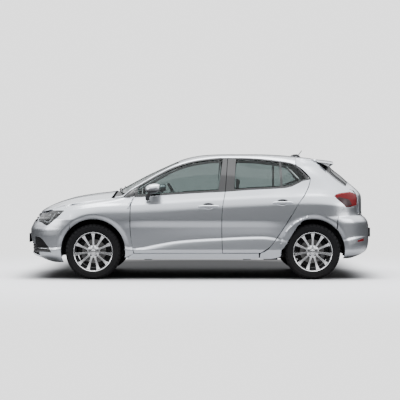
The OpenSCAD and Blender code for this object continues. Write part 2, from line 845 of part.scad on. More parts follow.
// ---- cabin, floor and running gear ------------------------------------------------------------
module floor_pan() {
  color(dark) {
    translate([-846, -700, 240]) cube([1600, 1400, 30]);
    translate([754, -540, 300]) cube([1080, 1080, 30]);
    translate([730, -540, 240]) cube([30, 1080, 80]);
    translate([-880, -440, 240]) cube([40, 880, 620]);
    translate([-880, -650, 640]) cube([40, 1300, 220]);
    translate([-846, -140, 260]) cube([1500, 280, 90]);
    translate([-1800, -430, 262]) cube([930, 860, 22]);
    translate([-1840, -430, 262]) cube([40, 860, 240]);
    // Jacking pads
    for (x = [-600, 560], s = [-1, 1])
      translate([x - 45, s * 665 - 28, 222]) cube([90, 56, 30]);
    for (s = [-1, 1]) {
      wheel_house(rear_x, s, 560, 742, 386);
      wheel_house(front_x, s, 440, 790, 268);
    }
  }
}

// Half ring liner over a wheel, closed on its inner side above wall_z
module wheel_house(x, s, y_in, y_out, wall_z) {
  intersection() {
    translate([x, s * (y_in + y_out) / 2, arch_z])
      rotate([90, 0, 0])
        difference() {
          cylinder(h = y_out - y_in, r = arch_r + 18, center = true);
          cylinder(h = y_out - y_in + 2, r = arch_r + 6, center = true);
        }
    translate([x - 500, -1000, 268]) cube([1000, 2000, 900]);
  }
  intersection() {
    translate([x, s * (y_in + 7), arch_z])
      rotate([90, 0, 0])
        cylinder(h = 14, r = arch_r + 10, center = true);
    translate([x - 500, -1000, wall_z]) cube([1000, 2000, 900]);
  }
}

module dashboard() {
  color(dark)
    translate([0, 660, 0])
      rotate([90, 0, 0])
        linear_extrude(height = 1320)
          polygon([
            [-838, 640], [-838, 940], [-700, 978], [-520, 985], [-440, 950],
            [-440, 900], [-500, 780], [-640, 640]
          ]);
}

module seat(x, y, w) {
  translate([x, y - w / 2, 0]) {
    translate([0, 0, 400]) cube([500, w, 120]);
    translate([40, 60, 270]) cube([380, w - 120, 140]);
    translate([400, 0, 470])
      rotate([0, 16, 0])
        cube([110, w, 540]);
    translate([600, w / 2 - 125, 950])
      rotate([0, 14, 0])
        cube([80, 250, 200]);
  }
}

module front_seats() {
  color(dark) {
    seat(-210, -350, 470);
    seat(-210, 350, 470);
  }
}

module rear_seat() {
  color(dark) {
    translate([520, -560, 400]) cube([480, 1120, 130]);
    translate([660, -520, 270]) cube([64, 1040, 140]);
    translate([900, -520, 460])
      rotate([0, 20, 0])
        cube([110, 1040, 540]);
    for (y = [-340, 0, 340])
      translate([1070, y - 120, 920])
        rotate([0, 18, 0])
          cube([70, 240, 170]);
  }
}

module engine_block() {
  color(metal) translate([-1640, -300, 300]) cube([380, 600, 460]);
}

module exhaust() {
  color(metal) {
    translate([-820, 60, 212]) rotate([0, 90, 0]) cylinder(h = 2440, r = 22);
    translate([1620, -200, 226]) rotate([-90, 0, 0]) cylinder(h = 560, r = 66);
  }
}

module fuel_tank() {
  color(dark) translate([766, -500, 208]) cube([170, 480, 88]);
}

// Puts a piece on a wheel axis with the outside of the car at +Z
module at_wheel(x, side) {
  translate([x, -side * wheel_y, axle_z])
    rotate([side > 0 ? 90 : -90, 0, 0])
      children();
}

module tyre(x, side) {
  half = tyre_w / 2;
  color([0.06, 0.06, 0.06])
    at_wheel(x, side)
      rotate_extrude()
        polygon([
          [rim_r - 14, -half + 14], [rim_r + 26, -half], [tyre_r - 24, -half + 3],
          [tyre_r - 5, -half + 22], [tyre_r, -half + 50], [tyre_r, half - 50],
          [tyre_r - 5, half - 22], [tyre_r - 24, half - 3], [rim_r + 26, half],
          [rim_r - 14, half - 14]
        ]);
}

module rim(x, side) {
  color(metal)
    at_wheel(x, side) {
      rotate_extrude()
        polygon([
          [rim_r - 14, -94], [rim_r - 14, 94], [rim_r - 24, 94], [rim_r - 32, 60],
          [rim_r - 32, -86], [rim_r - 24, -94]
        ]);
      difference() {
        union() {
          translate([0, 0, 24]) cylinder(h = 42, r = 76);
          for (i = [0 : spokes - 1])
            rotate([0, 0, 90 + i * 360 / spokes])
              translate([60, -15, 34])
                cube([rim_r - 86, 30, 34]);
        }
        for (i = [0 : 4])
          rotate([0, 0, 90 + 72 * i])
            translate([54, 0, 20])
              cylinder(h = 60, r = 8);
      }
      // Brake disc with its hat, turning with the wheel
      difference() {
        union() {
          translate([0, 0, -48]) cylinder(h = 22, r = 140);
          translate([0, 0, -48]) cylinder(h = 80, r = 70);
        }
        translate([0, 0, -50]) cylinder(h = 52, r = 34);
      }
    }
}

module knuckle(side) {
  color(metal)
    at_wheel(front_x, side) {
      translate([0, 0, -112]) cylinder(h = 50, r = 60);
      translate([0, 0, -70]) cylinder(h = 64, r = 26);
      translate([-30, -110, -112]) cube([60, 220, 34]);
      translate([-120, -20, -108]) cube([100, 40, 24]);
    }
}

module front_suspension() {
  color(metal) {
    translate([front_x + 70, -330, 196]) cube([190, 660, 44]);
    for (s = [-1, 1]) {
      translate([front_x - 26, s > 0 ? 300 : -630, 206]) cube([120, 330, 26]);
      translate([front_x, s * 560, 480]) cylinder(h = 228, r = 30);
    }
  }
}

module rear_axle() {
  color(metal) {
    translate([rear_x - 230, -560, 250]) cube([80, 1120, 40]);
    for (s = [-1, 1]) {
      translate([rear_x - 370, s * 560 - 30, 246]) cube([410, 60, 50]);
      translate([rear_x - 40, s * 590 - 40, 246]) cube([80, 80, 130]);
      translate([rear_x, s * 640, axle_z]) rotate([90, 0, 0]) cylinder(h = 60, r = 58, center = true);
      translate([rear_x, s * 690, axle_z]) rotate([90, 0, 0]) cylinder(h = 112, r = 26, center = true);
    }
  }
}

wheel_hub = [-292, -350, 963];
module steering_wheel() {
  color(dark)
    translate(wheel_hub)
      rotate([0, 62, 0]) {
        rotate_extrude()
          translate([172, 0])
            circle(r = 15);
        translate([0, 0, -22]) cylinder(h = 34, r = 60);
        translate([0, 0, -110]) cylinder(h = 90, r = 24);
        for (a = [90, 180, 270])
          rotate([0, 0, a])
            translate([50, -16, -8])
              cube([114, 32, 12]);
      }
}

// ---- drawing ------------------------------------------------------------------
floor_pan();
both() sill();  // sills
both() quarter_panel();  // quarter_panels
both() roof_rail();  // roof_rails
both() b_pillar();  // b_pillars
roof_panel();
both() front_fender();  // front_fenders
front_bumper();
grille();
both() headlamp();  // headlamps
rear_bumper();
both() tail_lamp();  // tail_lamps
windscreen();
cowl_and_wipers();
dashboard();
front_seats();
rear_seat();
engine_block();
front_suspension();
rear_axle();
exhaust();
fuel_tank();
plate_holders();
bonnet();
tailgate();
tailgate_glass();
spoiler();
door(front_grid, 1);  // door_front_left
door(front_grid, -1);  // door_front_right
door(rear_grid, 1);  // door_rear_left
door(rear_grid, -1);  // door_rear_right
door_glass(belt_front, top_front, 1);  // glass_front_left
door_glass(belt_front, top_front, -1);  // glass_front_right
door_glass(belt_rear, top_rear, 1);  // glass_rear_left
door_glass(belt_rear, top_rear, -1);  // glass_rear_right
mirror_housing(1);  // mirror_left
mirror_housing(-1);  // mirror_right
steering_wheel();
knuckle(1);  // knuckle_left
knuckle(-1);  // knuckle_right
rim(front_x, 1);  // rim_front_left
rim(front_x, -1);  // rim_front_right
rim(rear_x, 1);  // rim_rear_left
rim(rear_x, -1);  // rim_rear_right
tyre(front_x, 1);  // tyre_front_left
tyre(front_x, -1);  // tyre_front_right
tyre(rear_x, 1);  // tyre_rear_left
tyre(rear_x, -1);  // tyre_rear_right
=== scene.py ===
"""A five-door hatchback car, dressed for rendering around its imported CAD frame.

The front points to -X, the left side is -Y and +Z is up. Tables of points are in
millimetres, meshes in metres.
"""

import json
import logging
import math
from dataclasses import dataclass
from enum import Enum
from typing import Callable, Dict, List, Optional, Sequence, Tuple, Union

import bmesh
import bpy
import numpy as np
from mathutils import Matrix, Vector


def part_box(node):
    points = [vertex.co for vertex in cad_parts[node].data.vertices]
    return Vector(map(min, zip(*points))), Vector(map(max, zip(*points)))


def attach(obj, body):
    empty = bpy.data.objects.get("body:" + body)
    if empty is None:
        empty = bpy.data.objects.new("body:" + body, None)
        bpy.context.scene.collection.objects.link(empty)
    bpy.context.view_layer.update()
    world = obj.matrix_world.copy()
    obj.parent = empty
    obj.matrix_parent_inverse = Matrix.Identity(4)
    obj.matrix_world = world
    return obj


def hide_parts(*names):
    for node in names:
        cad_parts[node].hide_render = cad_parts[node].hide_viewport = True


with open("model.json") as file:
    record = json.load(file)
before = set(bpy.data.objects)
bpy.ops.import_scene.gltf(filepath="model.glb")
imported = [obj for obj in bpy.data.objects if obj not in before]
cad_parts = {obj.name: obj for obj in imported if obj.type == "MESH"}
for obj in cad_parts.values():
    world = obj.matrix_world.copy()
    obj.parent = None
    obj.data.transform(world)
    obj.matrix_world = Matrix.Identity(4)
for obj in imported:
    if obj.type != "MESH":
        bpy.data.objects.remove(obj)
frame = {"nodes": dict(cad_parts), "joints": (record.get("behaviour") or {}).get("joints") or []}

LOG = logging.getLogger("hatchback")
MM = 0.001
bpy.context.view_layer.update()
# Edges that turn by more than this many degrees are rounded
SHARP_ANGLE = 50
# Points of a net that are nearer than this are made one, in metres
MERGE = 2e-5
# Height of the middle of the car, in metres
MIDDLE_Z = 0.62
DUST_COLOUR = (0.24, 0.21, 0.18)
COAT_ROUGHNESS = 0.03
# Place of each brake calliper round its disc, in degrees from the front
CALIPER_TURN = {"front": -35, "rear": 215}

Array = np.ndarray
Net = bmesh.types.BMesh
Socket = bpy.types.NodeSocket
Points = Sequence[Tuple[float, float]]
Place = Callable[[Array, Array], Array]
Colour = Tuple[float, float, float]


class Side(Enum):
    """The two sides of the car."""

    LEFT = 1
    RIGHT = -1


# ---- smooth lines ------------------------------------------------------------


def slopes(x: Array, y: Array) -> Array:
    """Slopes of a smooth line that never overshoots its points.

    Args:
        x: Rising positions, along the first axis.
        y: Heights at those positions.

    Returns:
        The slope at each point.
    """
    h = np.diff(x, axis=0)
    d = np.diff(y, axis=0) / h
    m = np.empty_like(y)
    m[0], m[-1] = d[0], d[-1]
    a, b = d[:-1], d[1:]
    same = a * b > 0
    wa, wb = 2 * h[1:] + h[:-1], h[1:] + 2 * h[:-1]
    mean = (wa + wb) / (wa / np.where(same, a, 1) + wb / np.where(same, b, 1))
    m[1:-1] = np.where(same, mean, 0)
    return m


def hermite(t: Array, h: Array, ends: Sequence[Array]) -> Array:
    """Value of a cubic between two points.

    Args:
        t: Place between the points, 0 to 1.
        h: Distance between the points.
        ends: First value, second value, first slope, second slope.

    Returns:
        The value at each place.
    """
    y0, y1, m0, m1 = ends
    t2, t3 = t * t, t * t * t
    return (
        y0 * (2 * t3 - 3 * t2 + 1)
        + m0 * h * (t3 - 2 * t2 + t)
        + y1 * (3 * t2 - 2 * t3)
        + m1 * h * (t3 - t2)
    )


class Curve:
    """A smooth line through points, held level beyond its ends."""

    def __init__(self, points: Points) -> None:
        """Sorts the points and works out the slopes."""
        p = np.array(sorted(points), float)
        self.x, self.y = p[:, 0], p[:, 1]
        self.m = slopes(self.x, self.y)

    def __call__(self, q: Array) -> Array:
        """Heights at the places asked for."""
        q = np.clip(np.asarray(q, float), self.x[0], self.x[-1])
        k = np.clip(np.searchsorted(self.x, q) - 1, 0, len(self.x) - 2)
        h = self.x[k + 1] - self.x[k]
        ends = (self.y[k], self.y[k + 1], self.m[k], self.m[k + 1])
        return hermite((q - self.x[k]) / h, h, ends)


def track(points: Sequence[Sequence[float]], t: Array) -> Array:
    """Points along a smooth line, each given point taking an equal share of t.

    Args:
        points: The points that the line runs through.
        t: Places along it, 0 to 1.

    Returns:
        One row per place.
    """
    p = np.array(points, float)
    n = len(p)
    if n == 2:
        return p[0] + (p[1] - p[0]) * np.asarray(t)[:, None]
    s = np.clip(np.asarray(t), 0, 1) * (n - 1)
    k = np.minimum(s.astype(int), n - 2)
    f = (s - k)[:, None]
    steps = slopes(np.arange(n, dtype=float)[:, None].repeat(p.shape[1], 1), p)
    return hermite(f, np.ones_like(f), (p[k], p[k + 1], steps[k], steps[k + 1]))


def smooth_step(v: Array) -> Array:
    """Eases 0 to 1."""
    v = np.clip(v, 0, 1)
    return v * v * (3 - 2 * v)


@dataclass
class Outline:
    """A four-sided outline filled with a smooth net of points.

    Attributes:
        bottom: Points from the first side to the second, below.
        top: The same above.
        first: Points upwards along the first side.
        second: Points upwards along the second side.
    """

    bottom: Points
    top: Points
    first: Points
    second: Points

    def sides(self) -> List[Points]:
        """Its four sides, one after the other round it."""
        return [self.bottom, self.second, self.top[::-1], self.first[::-1]]

    def at(self, u: Array, v: Array) -> Array:
        """Points inside the outline for places u along it and v up it."""
        b, t = track(self.bottom, u), track(self.top, u)
        lo, hi = track(self.first, v), track(self.second, v)
        u, v = u[:, None], v[:, None]
        b0, b1 = np.array(self.first[0], float), np.array(self.second[0], float)
        t0, t1 = np.array(self.first[-1], float), np.array(self.second[-1], float)
        return (
            b * (1 - v) + t * v + lo * (1 - u) + hi * u
            - b0 * (1 - u) * (1 - v) - b1 * u * (1 - v) - t0 * (1 - u) * v - t1 * u * v
        )


# ---- the body surface --------------------------------------------------------


# Heights of the crease low on the doors
CREASE = Curve([
    (-766, 330), (-684, 364), (-569, 393), (-453, 416), (-279, 445), (-106, 462), (242, 482),
    (554, 497), (800, 503),
])


@dataclass
class Skin:
    """The outer surface that every panel lies on.

    Attributes:
        front_x: Front axle, from the frame.
        rear_x: Rear axle, from the frame.
        half_w: Greatest half width of the body.
        power: How square the corners are from above.
        arch_r: Radius of a wheel opening.
        arch_z: Height of the middle of a wheel opening.
        band: Width of the rolled band round a wheel opening.
        band_drop: How far that band steps in.
    """

    front_x: float
    rear_x: float
    half_w: float
    power: float = 2.6
    arch_r: float = 376
    arch_z: float = 329
    band: float = 62
    band_drop: float = 10

    def __post_init__(self) -> None:
        """Lays the smooth lines that the surface follows."""
        nose = [
            (160, -1690, 560), (195, -1860, 600), (228, -1935, 660), (262, -2020, 740),
            (290, -2038, 740), (360, -2042, 740), (462, -2056, 740), (510, -2062, 740),
            (568, -2056, 740), (611, -2043, 740), (661, -2016, 740), (735, -1972, 720),
            (790, -1925, 690), (840, -1850, 620), (884, -1750, 560), (928, -1625, 520),
            (1000, -1260, 420),
        ]
        tail = [
            (212, 1816, 560), (252, 1940, 600), (283, 2002, 640), (332, 2045, 680),
            (420, 2064, 700), (520, 2066, 700), (605, 2064, 700), (654, 2055, 690),
            (700, 2027, 670), (740, 1985, 650), (800, 1975, 640), (927, 1976, 640),
            (971, 1972, 640), (1026, 1940, 620), (1119, 1841, 600), (1212, 1742, 590),
            (1312, 1618, 560), (1360, 1560, 500), (1400, 1480, 420),
        ]
        edge = [
            (-1925, 300, 772), (-1860, 500, 788), (-1756, 606, 812), (-1603, 655, 856),
            (-1462, 668, 886), (-1285, 672, 913), (-1045, 676, 942), (-1000, 680, 948),
            (-893, 744, 972), (-817, 740, 1034), (-699, 722, 1104), (-463, 684, 1240),
            (-227, 640, 1352), (9, 606, 1412), (245, 592, 1438), (481, 588, 1442),
            (717, 586, 1440), (953, 580, 1428), (1130, 576, 1412), (1339, 572, 1392),
            (1400, 574, 1350), (1487, 582, 1272), (1605, 598, 1166), (1700, 608, 1092),
            (1790, 600, 1020),
        ]
        head = [
            (-1500, 668, 874), (-1285, 690, 906), (-1045, 712, 936), (-893, 778, 958),
            (-817, 768, 1023), (-699, 748, 1094), (-463, 706, 1229), (-227, 670, 1335),
            (9, 648, 1394), (245, 638, 1418), (717, 632, 1412), (953, 634, 1404),
            (1400, 640, 1400),
        ]
        belt = [
            (-2060, 800, 700), (-1756, 800, 780), (-1603, 804, 826), (-1462, 806, 852),
            (-1285, 806, 880), (-1045, 808, 912), (-893, 814, 935), (-457, 820, 970),
            (10, 824, 1000), (593, 824, 1034), (1000, 812, 1056), (1300, 796, 1060),
            (1800, 790, 1040),
        ]
        shoulder = [
            (-2060, 858, 640), (-1603, 866, 770), (-1350, 872, 826), (-1102, 876, 850),
            (-801, 878, 857), (-395, 880, 873), (10, 880, 899), (473, 880, 922),
            (995, 878, 948), (1342, 872, 958), (1600, 866, 940), (2066, 860, 900),
        ]
        self.nose_x, self.nose_l = self.pair(nose)
        self.tail_x, self.tail_l = self.pair(tail)
        self.edge_y, self.edge_z = self.pair(edge)
        self.head_y, self.head_z = self.pair(head)
        self.belt_y, self.belt_z = self.pair(belt)
        self.shoulder_y, self.shoulder_z = self.pair(shoulder)
        self.crown = Curve([
            (-1925, 792), (-1850, 838), (-1750, 884), (-1625, 928), (-1499, 963),
            (-1248, 1004), (-1000, 1036), (-924, 1072), (-800, 1138), (-614, 1235),
            (-428, 1321), (-304, 1376), (-180, 1423), (-60, 1452), (68, 1470),
            (316, 1479), (688, 1479), (998, 1467), (1246, 1442), (1395, 1422),
            (1440, 1402), (1520, 1378), (1584, 1348), (1618, 1312), (1742, 1212), (1841, 1119),
            (1940, 1026),
        ])

    @staticmethod
    def pair(rows: Sequence[Tuple[float, float, float]]) -> Tuple[Curve, Curve]:
        """Two curves from rows of place, first value and second value."""
        return Curve([(a, b) for a, b, _ in rows]), Curve([(a, c) for a, _, c in rows])

    def section(self, x: Array) -> Tuple[Array, Array]:
        """Heights and half widths of the flank's section at each x."""
        near = np.exp(-(((x - self.front_x) / 430) ** 4))
        near = near + np.exp(-(((x - self.rear_x) / 430) ** 4))
        crease = CREASE(x)
        sz, sy = self.shoulder_z(x), self.shoulder_y(x)
        bz, by = self.belt_z(x), self.belt_y(x)
        fz, fy = self.head_z(x), self.head_y(x)
        full = np.ones_like(x)

        def mix(a: Union[float, Array], b: float) -> Array:
            """One value away from the wheels, another one near them."""
            return a + (b - a) * near

        pillar = np.clip((x + 893) / 60, 0, 1) * 10
        rows = [
            (150 * full, mix(800, 850)),
            (228 * full, mix(846, 866)),
            (290 * full, mix(866, 874)),
            (350 * full, mix(884, 882)),
            (mix(crease - 24, 410), mix(879, 882)),
            (mix(crease, 450), mix(866, 882)),
            (mix(600, 580), mix(874, 886)),
            (700 * full, self.half_w * full),
            (sz - 90, self.half_w - 2 * full),
            (sz, sy - 9),
            (sz + (bz - sz) * 0.45, sy + (by - sy) * 0.55),
            (bz, by),
            (bz + (fz - bz) * 0.5, by + (fy - by) * 0.48 + pillar),
            (fz, fy),
        ]
        zs = np.stack([r[0] for r in rows])
        ys = np.stack([r[1] for r in rows])
        for k in range(1, len(rows)):
            zs[k] = np.maximum(zs[k], zs[k - 1] + 5)
        return zs, ys

    def flank(self, x: Array, z: Array) -> Array:
        """Half width of the flank before the nose and tail narrow it."""
        zs, ys = self.section(x)
        ms = slopes(zs, ys)
        z = np.clip(z, zs[0], zs[-1])
        k = np.clip((zs[1:-1] <= z).sum(0), 0, len(zs) - 2)
        i = np.arange(len(x))
        h = zs[k + 1, i] - zs[k, i]
        ends = (ys[k, i], ys[k + 1, i], ms[k, i], ms[k + 1, i])
        y = hermite((z - zs[k, i]) / h, h, ends)
        for axle in (self.front_x, self.rear_x):
            r = np.hypot(x - axle, z - self.arch_z)
            y = y - self.band_drop * smooth_step((self.arch_r + self.band - r) / self.band)
        return y

    def taper(self, f: Array) -> Array:
        """Narrowing for a place f along a corner, 0 to 1."""
        p = self.power
        return np.maximum(1e-4, 1 - np.clip(f, 0, 1) ** p) ** (1 / p)

    def side(self, x: Array, z: Array, out: float = 0) -> Array:
        """Points on the left flank, or out beyond it."""
        nl, tl = self.nose_l(z), self.tail_l(z)
        plan = self.taper((self.nose_x(z) + nl - x) / nl)
        plan = plan * self.taper((x - self.tail_x(z) + tl) / tl)
        return np.stack([x, -self.flank(x, z) * plan - out, z], 1)

    def lay(self, outline: Outline, out: float = 0) -> Place:
        """Lays an outline on the left flank, or out beyond it."""
        def place(u: Array, v: Array) -> Array:
            """Point of the outline on the flank."""
            p = outline.at(u, v)
            return self.side(p[:, 0], p[:, 1], out)
        return place

    def top(self, x: Array, y: Array, up: float = 0) -> Array:
        """Points on the bonnet, screen, roof or rear glass, or up above them."""
        c, e = self.crown(x), self.edge_z(x)
        z = c + (e - c) * (np.abs(y) / self.edge_y(x)) ** 2.1
        return np.stack([x, y, z + up], 1)

    def nose(self, t: Array, z: Array) -> Array:
        """Points on the nose at a turn t from the middle, 0, to the flank, 1."""
        a = np.abs(t) * math.pi / 2
        p = 2 / self.power
        x = self.nose_x(z) + self.nose_l(z) * (1 - np.cos(a) ** p)
        return np.stack([x, -np.sign(t) * self.flank(x, z) * np.sin(a) ** p, z], 1)

    def tail(self, t: Array, z: Array) -> Array:
        """Points on the tail at a turn t from the middle, 0, to the flank, 1."""
        a = np.abs(t) * math.pi / 2
        p = 2 / self.power
        x = self.tail_x(z) - self.tail_l(z) * (1 - np.cos(a) ** p)
        return np.stack([x, -np.sign(t) * self.flank(x, z) * np.sin(a) ** p, z], 1)

    def nose_turn(self, x: Array, z: Array) -> Array:
        """Turn at which the nose reaches x."""
        c = np.clip(1 - (x - self.nose_x(z)) / self.nose_l(z), 0, 1) ** (self.power / 2)
        return np.arccos(c) / (math.pi / 2)

    def tail_turn(self, x: Array, z: Array) -> Array:
        """Turn at which the tail reaches x."""
        c = np.clip(1 - (self.tail_x(z) - x) / self.tail_l(z), 0, 1) ** (self.power / 2)
        return np.arccos(c) / (math.pi / 2)


# ---- finishes ----------------------------------------------------------------


# Kinds of the sockets of the groups below, numbers where nothing is said
SOCKETS = {"Vector": "NodeSocketVector", "Colour": "NodeSocketColor"}


def new_group(name: str, inputs: Sequence[str], outputs: Sequence[str]) -> bpy.types.NodeTree:
    """An empty node group with the sockets asked for."""
    tree = bpy.data.node_groups.new(name, "ShaderNodeTree")
    for sockets, way in ((inputs, "INPUT"), (outputs, "OUTPUT")):
        for socket in sockets:
            kind = SOCKETS.get(socket, "NodeSocketFloat")
            tree.interface.new_socket(socket, in_out=way, socket_type=kind)
    return tree


def feed(node: bpy.types.Node, values: Dict[str, object]) -> None:
    """Sets inputs of a node by their names."""
    for name, value in values.items():
        node.inputs[name].default_value = value


def surface_group() -> bpy.types.NodeTree:
    """Builds the grain and dust group once.

    Returns:
        The group, with a colour, a roughness and a height that vary over a piece.
    """
    old = bpy.data.node_groups.get("surface")
    if old:
        return old
    tree = new_group(
        "surface", ("Vector", "Colour", "Roughness", "Scale", "Variation", "Dust"),
        ("Colour", "Roughness", "Height"),
    )
    add, link = tree.nodes.new, tree.links.new
    inside, out = add("NodeGroupInput"), add("NodeGroupOutput")
    grain = add("ShaderNodeTexNoise")
    feed(grain, {"Detail": 4})
    link(inside.outputs["Vector"], grain.inputs["Vector"])
    link(inside.outputs["Scale"], grain.inputs["Scale"])
    cloud = add("ShaderNodeTexNoise")
    feed(cloud, {"Scale": 5, "Detail": 5})
    link(inside.outputs["Vector"], cloud.inputs["Vector"])
    split = add("ShaderNodeSeparateXYZ")
    link(inside.outputs["Vector"], split.inputs[0])
    low = add("ShaderNodeMapRange")
    feed(low, {"From Min": 0.55, "From Max": 0.15})
    link(split.outputs["Z"], low.inputs["Value"])

    def maths(kind: str, a: object, b: object) -> Socket:
        """One sum of two sockets or numbers."""
        node = add("ShaderNodeMath")
        node.operation = kind
        for socket, value in zip(node.inputs, (a, b)):
            if isinstance(value, float):
                socket.default_value = value
            else:
                link(value, socket)
        return node.outputs[0]

    dirt = maths("MULTIPLY", low.outputs[0], cloud.outputs["Fac"])
    dirt = maths("MULTIPLY", dirt, inside.outputs["Dust"])
    swing = maths("MULTIPLY", maths("SUBTRACT", grain.outputs["Fac"], 0.5), 2.0)
    swing = maths("MULTIPLY", swing, inside.outputs["Variation"])
    scale = add("ShaderNodeVectorMath")
    scale.operation = "SCALE"
    link(inside.outputs["Colour"], scale.inputs[0])
    link(maths("ADD", swing, 1.0), scale.inputs["Scale"])
    mix = add("ShaderNodeMix")
    mix.data_type = "RGBA"
    link(dirt, mix.inputs["Factor"])
    link(scale.outputs[0], mix.inputs["A"])
    mix.inputs["B"].default_value = (*DUST_COLOUR, 1)
    link(mix.outputs["Result"], out.inputs["Colour"])
    rough = maths("ADD", inside.outputs["Roughness"], maths("MULTIPLY", swing, 0.6))
    link(maths("ADD", rough, maths("MULTIPLY", dirt, 0.5)), out.inputs["Roughness"])
    link(grain.outputs["Fac"], out.inputs["Height"])
    return tree


def weave_group() -> bpy.types.NodeTree:
    """Builds the cloth weave group once.

    Returns:
        The group, whose height and mask run in crossing threads.
    """
    old = bpy.data.node_groups.get("weave")
    if old:
        return old
    tree = new_group("weave", ("Vector", "Threads"), ("Height",))
    add, link = tree.nodes.new, tree.links.new
    inside, out = add("NodeGroupInput"), add("NodeGroupOutput")
    waves = []
    for axis in ("X", "Y", "Z"):
        wave = add("ShaderNodeTexWave")
        wave.bands_direction = axis
        feed(wave, {"Distortion": 0.6, "Detail Scale": 2})
        link(inside.outputs["Vector"], wave.inputs["Vector"])
        link(inside.outputs["Threads"], wave.inputs["Scale"])
        waves.append(wave.outputs["Fac"])
    total = waves[0]
    for wave in waves[1:]:
        node = add("ShaderNodeMath")
        node.operation = "ADD"
        link(total, node.inputs[0])
        link(wave, node.inputs[1])
        total = node.outputs[0]
    link(total, out.inputs["Height"])
    return tree


@dataclass(frozen=True)
class Finish:
    """How one material looks.

    Attributes:
        name: Material name.
        colour: Base colour.
        roughness: Mean roughness.
        metallic: 0 or 1.
        coat: Weight of the clear coat.
        grain: Scale of the fine grain, per metre.
        variation: How far colour and roughness swing with the grain.
        bump: Strength of the grain as relief.
        depth: Depth of the relief, in metres.
        dust: Road dust on the low parts.
        transmission: How much light passes.
        glow: Strength of the light it gives.
        sheen: Soft edge brightness, for cloth.
        weave: Threads per metre, 0 for none.
        specular: Strength of the plain reflection.
        ior: Index of refraction.
    """

    name: str
    colour: Colour
    roughness: float = 0.5
    metallic: float = 0.0
    coat: float = 0.0
    grain: float = 300.0
    variation: float = 0.04
    bump: float = 0.1
    depth: float = 0.0004
    dust: float = 0.15
    transmission: float = 0.0
    glow: float = 0.0
    sheen: float = 0.0
    weave: float = 0.0
    specular: float = 0.5
    ior: float = 1.5

    def material(self) -> bpy.types.Material:
        """The material, made the first time it is asked for."""
        old = bpy.data.materials.get(self.name)
        if old:
            return old
        made = bpy.data.materials.new(self.name)
        made.use_nodes = True
        add, link = made.node_tree.nodes.new, made.node_tree.links.new
        shader = made.node_tree.nodes["Principled BSDF"]
        place = add("ShaderNodeTexCoord")
        group = add("ShaderNodeGroup")
        group.node_tree = surface_group()
        link(place.outputs["Object"], group.inputs["Vector"])
        feed(group, {
            "Colour": (*self.colour, 1), "Roughness": self.roughness, "Scale": self.grain,
            "Variation": self.variation, "Dust": self.dust,
        })
        link(group.outputs["Colour"], shader.inputs["Base Color"])
        link(group.outputs["Roughness"], shader.inputs["Roughness"])
        feed(shader, {
            "Metallic": self.metallic, "Coat Weight": self.coat,
            "Coat Roughness": COAT_ROUGHNESS, "Specular IOR Level": self.specular,
            "IOR": self.ior,
            "Transmission Weight": self.transmission, "Sheen Weight": self.sheen,
        })
        if self.glow:
            feed(shader, {
                "Emission Color": (*self.colour, 1), "Emission Strength": self.glow,
            })
        height = group.outputs["Height"]
        if self.weave:
            cloth = add("ShaderNodeGroup")
            cloth.node_tree = weave_group()
            link(place.outputs["Object"], cloth.inputs["Vector"])
            cloth.inputs["Threads"].default_value = self.weave
            height = cloth.outputs["Height"]
        if self.bump:
            bump = add("ShaderNodeBump")
            feed(bump, {"Strength": self.bump, "Distance": self.depth})
            link(height, bump.inputs["Height"])
            link(bump.outputs["Normal"], shader.inputs["Normal"])
        return made


PAINT = Finish(
    "silver_paint", (0.66, 0.685, 0.725), roughness=0.29, metallic=0.95, coat=1.0, grain=900,
    variation=0.02, bump=0.0, dust=0.0,
)
TRIM = Finish(
    "black_trim", (0.018, 0.018, 0.020), roughness=0.42, grain=700, variation=0.15, bump=0.25,
    depth=0.0003, dust=0.10,
)
GLOSS = Finish(
    "gloss_black", (0.008, 0.008, 0.009), roughness=0.12, coat=0.6, grain=400, variation=0.05,
    bump=0.0, dust=0.03,
)
UNDER = Finish(
    "underseal", (0.018, 0.018, 0.020), roughness=0.75, grain=120, variation=0.25, bump=0.5,
    depth=0.001,
)
CAST = Finish(
    "raw_casting", (0.30, 0.30, 0.31), roughness=0.55, metallic=1, grain=260, variation=0.2,
    bump=0.5, depth=0.0006, dust=0.3,
)
STEEL = Finish(
    "brushed_steel", (0.40, 0.38, 0.36), roughness=0.38, metallic=1, grain=60, variation=0.18,
    dust=0.4,
)
GLASS = Finish(
    "tinted_glass", (0.27, 0.315, 0.31), roughness=0.0, variation=0.0, bump=0.0, dust=0.0,
    transmission=1.0, ior=1.3,
)
PRIVACY = Finish(
    "privacy_glass", (0.010, 0.012, 0.012), roughness=0.12, variation=0.0, bump=0.0, dust=0.0,
    specular=0.2,
)
LENS = Finish(
    "clear_lens", (0.34, 0.35, 0.36), roughness=0.02, variation=0.0, bump=0.0, dust=0.0,
    transmission=1.0, ior=1.3,
)
RED = Finish(
    "red_lens", (0.13, 0.004, 0.007), roughness=0.3, grain=200, variation=0.08, bump=0.0, dust=0.0,
    specular=0.12,
)
DEEP_RED = Finish(
    "deep_red", (0.030, 0.008, 0.010), roughness=0.2, coat=0.1, grain=200, variation=0.08,
    bump=0.0, dust=0.0, specular=0.2,
)
PALE_RED = Finish(
    "pale_red", (0.42, 0.05, 0.05), roughness=0.2, coat=0.2, grain=200, variation=0.08, bump=0.0,
    dust=0.0, specular=0.25,
)
SIGNAL = Finish(
    "lamp_signature", (0.85, 0.88, 0.90), roughness=0.2, variation=0.0, bump=0.0, dust=0, glow=0.5,
)
CHROME = Finish(
    "reflector", (0.80, 0.81, 0.82), roughness=0.12, metallic=1, grain=200, variation=0.03,
    bump=0.0, dust=0.02,
)
ALLOY = Finish(
    "machined_alloy", (0.80, 0.80, 0.81), roughness=0.24, metallic=1, coat=0.4, grain=500,
    variation=0.06, bump=0.04, depth=0.0002, dust=0.05,
)
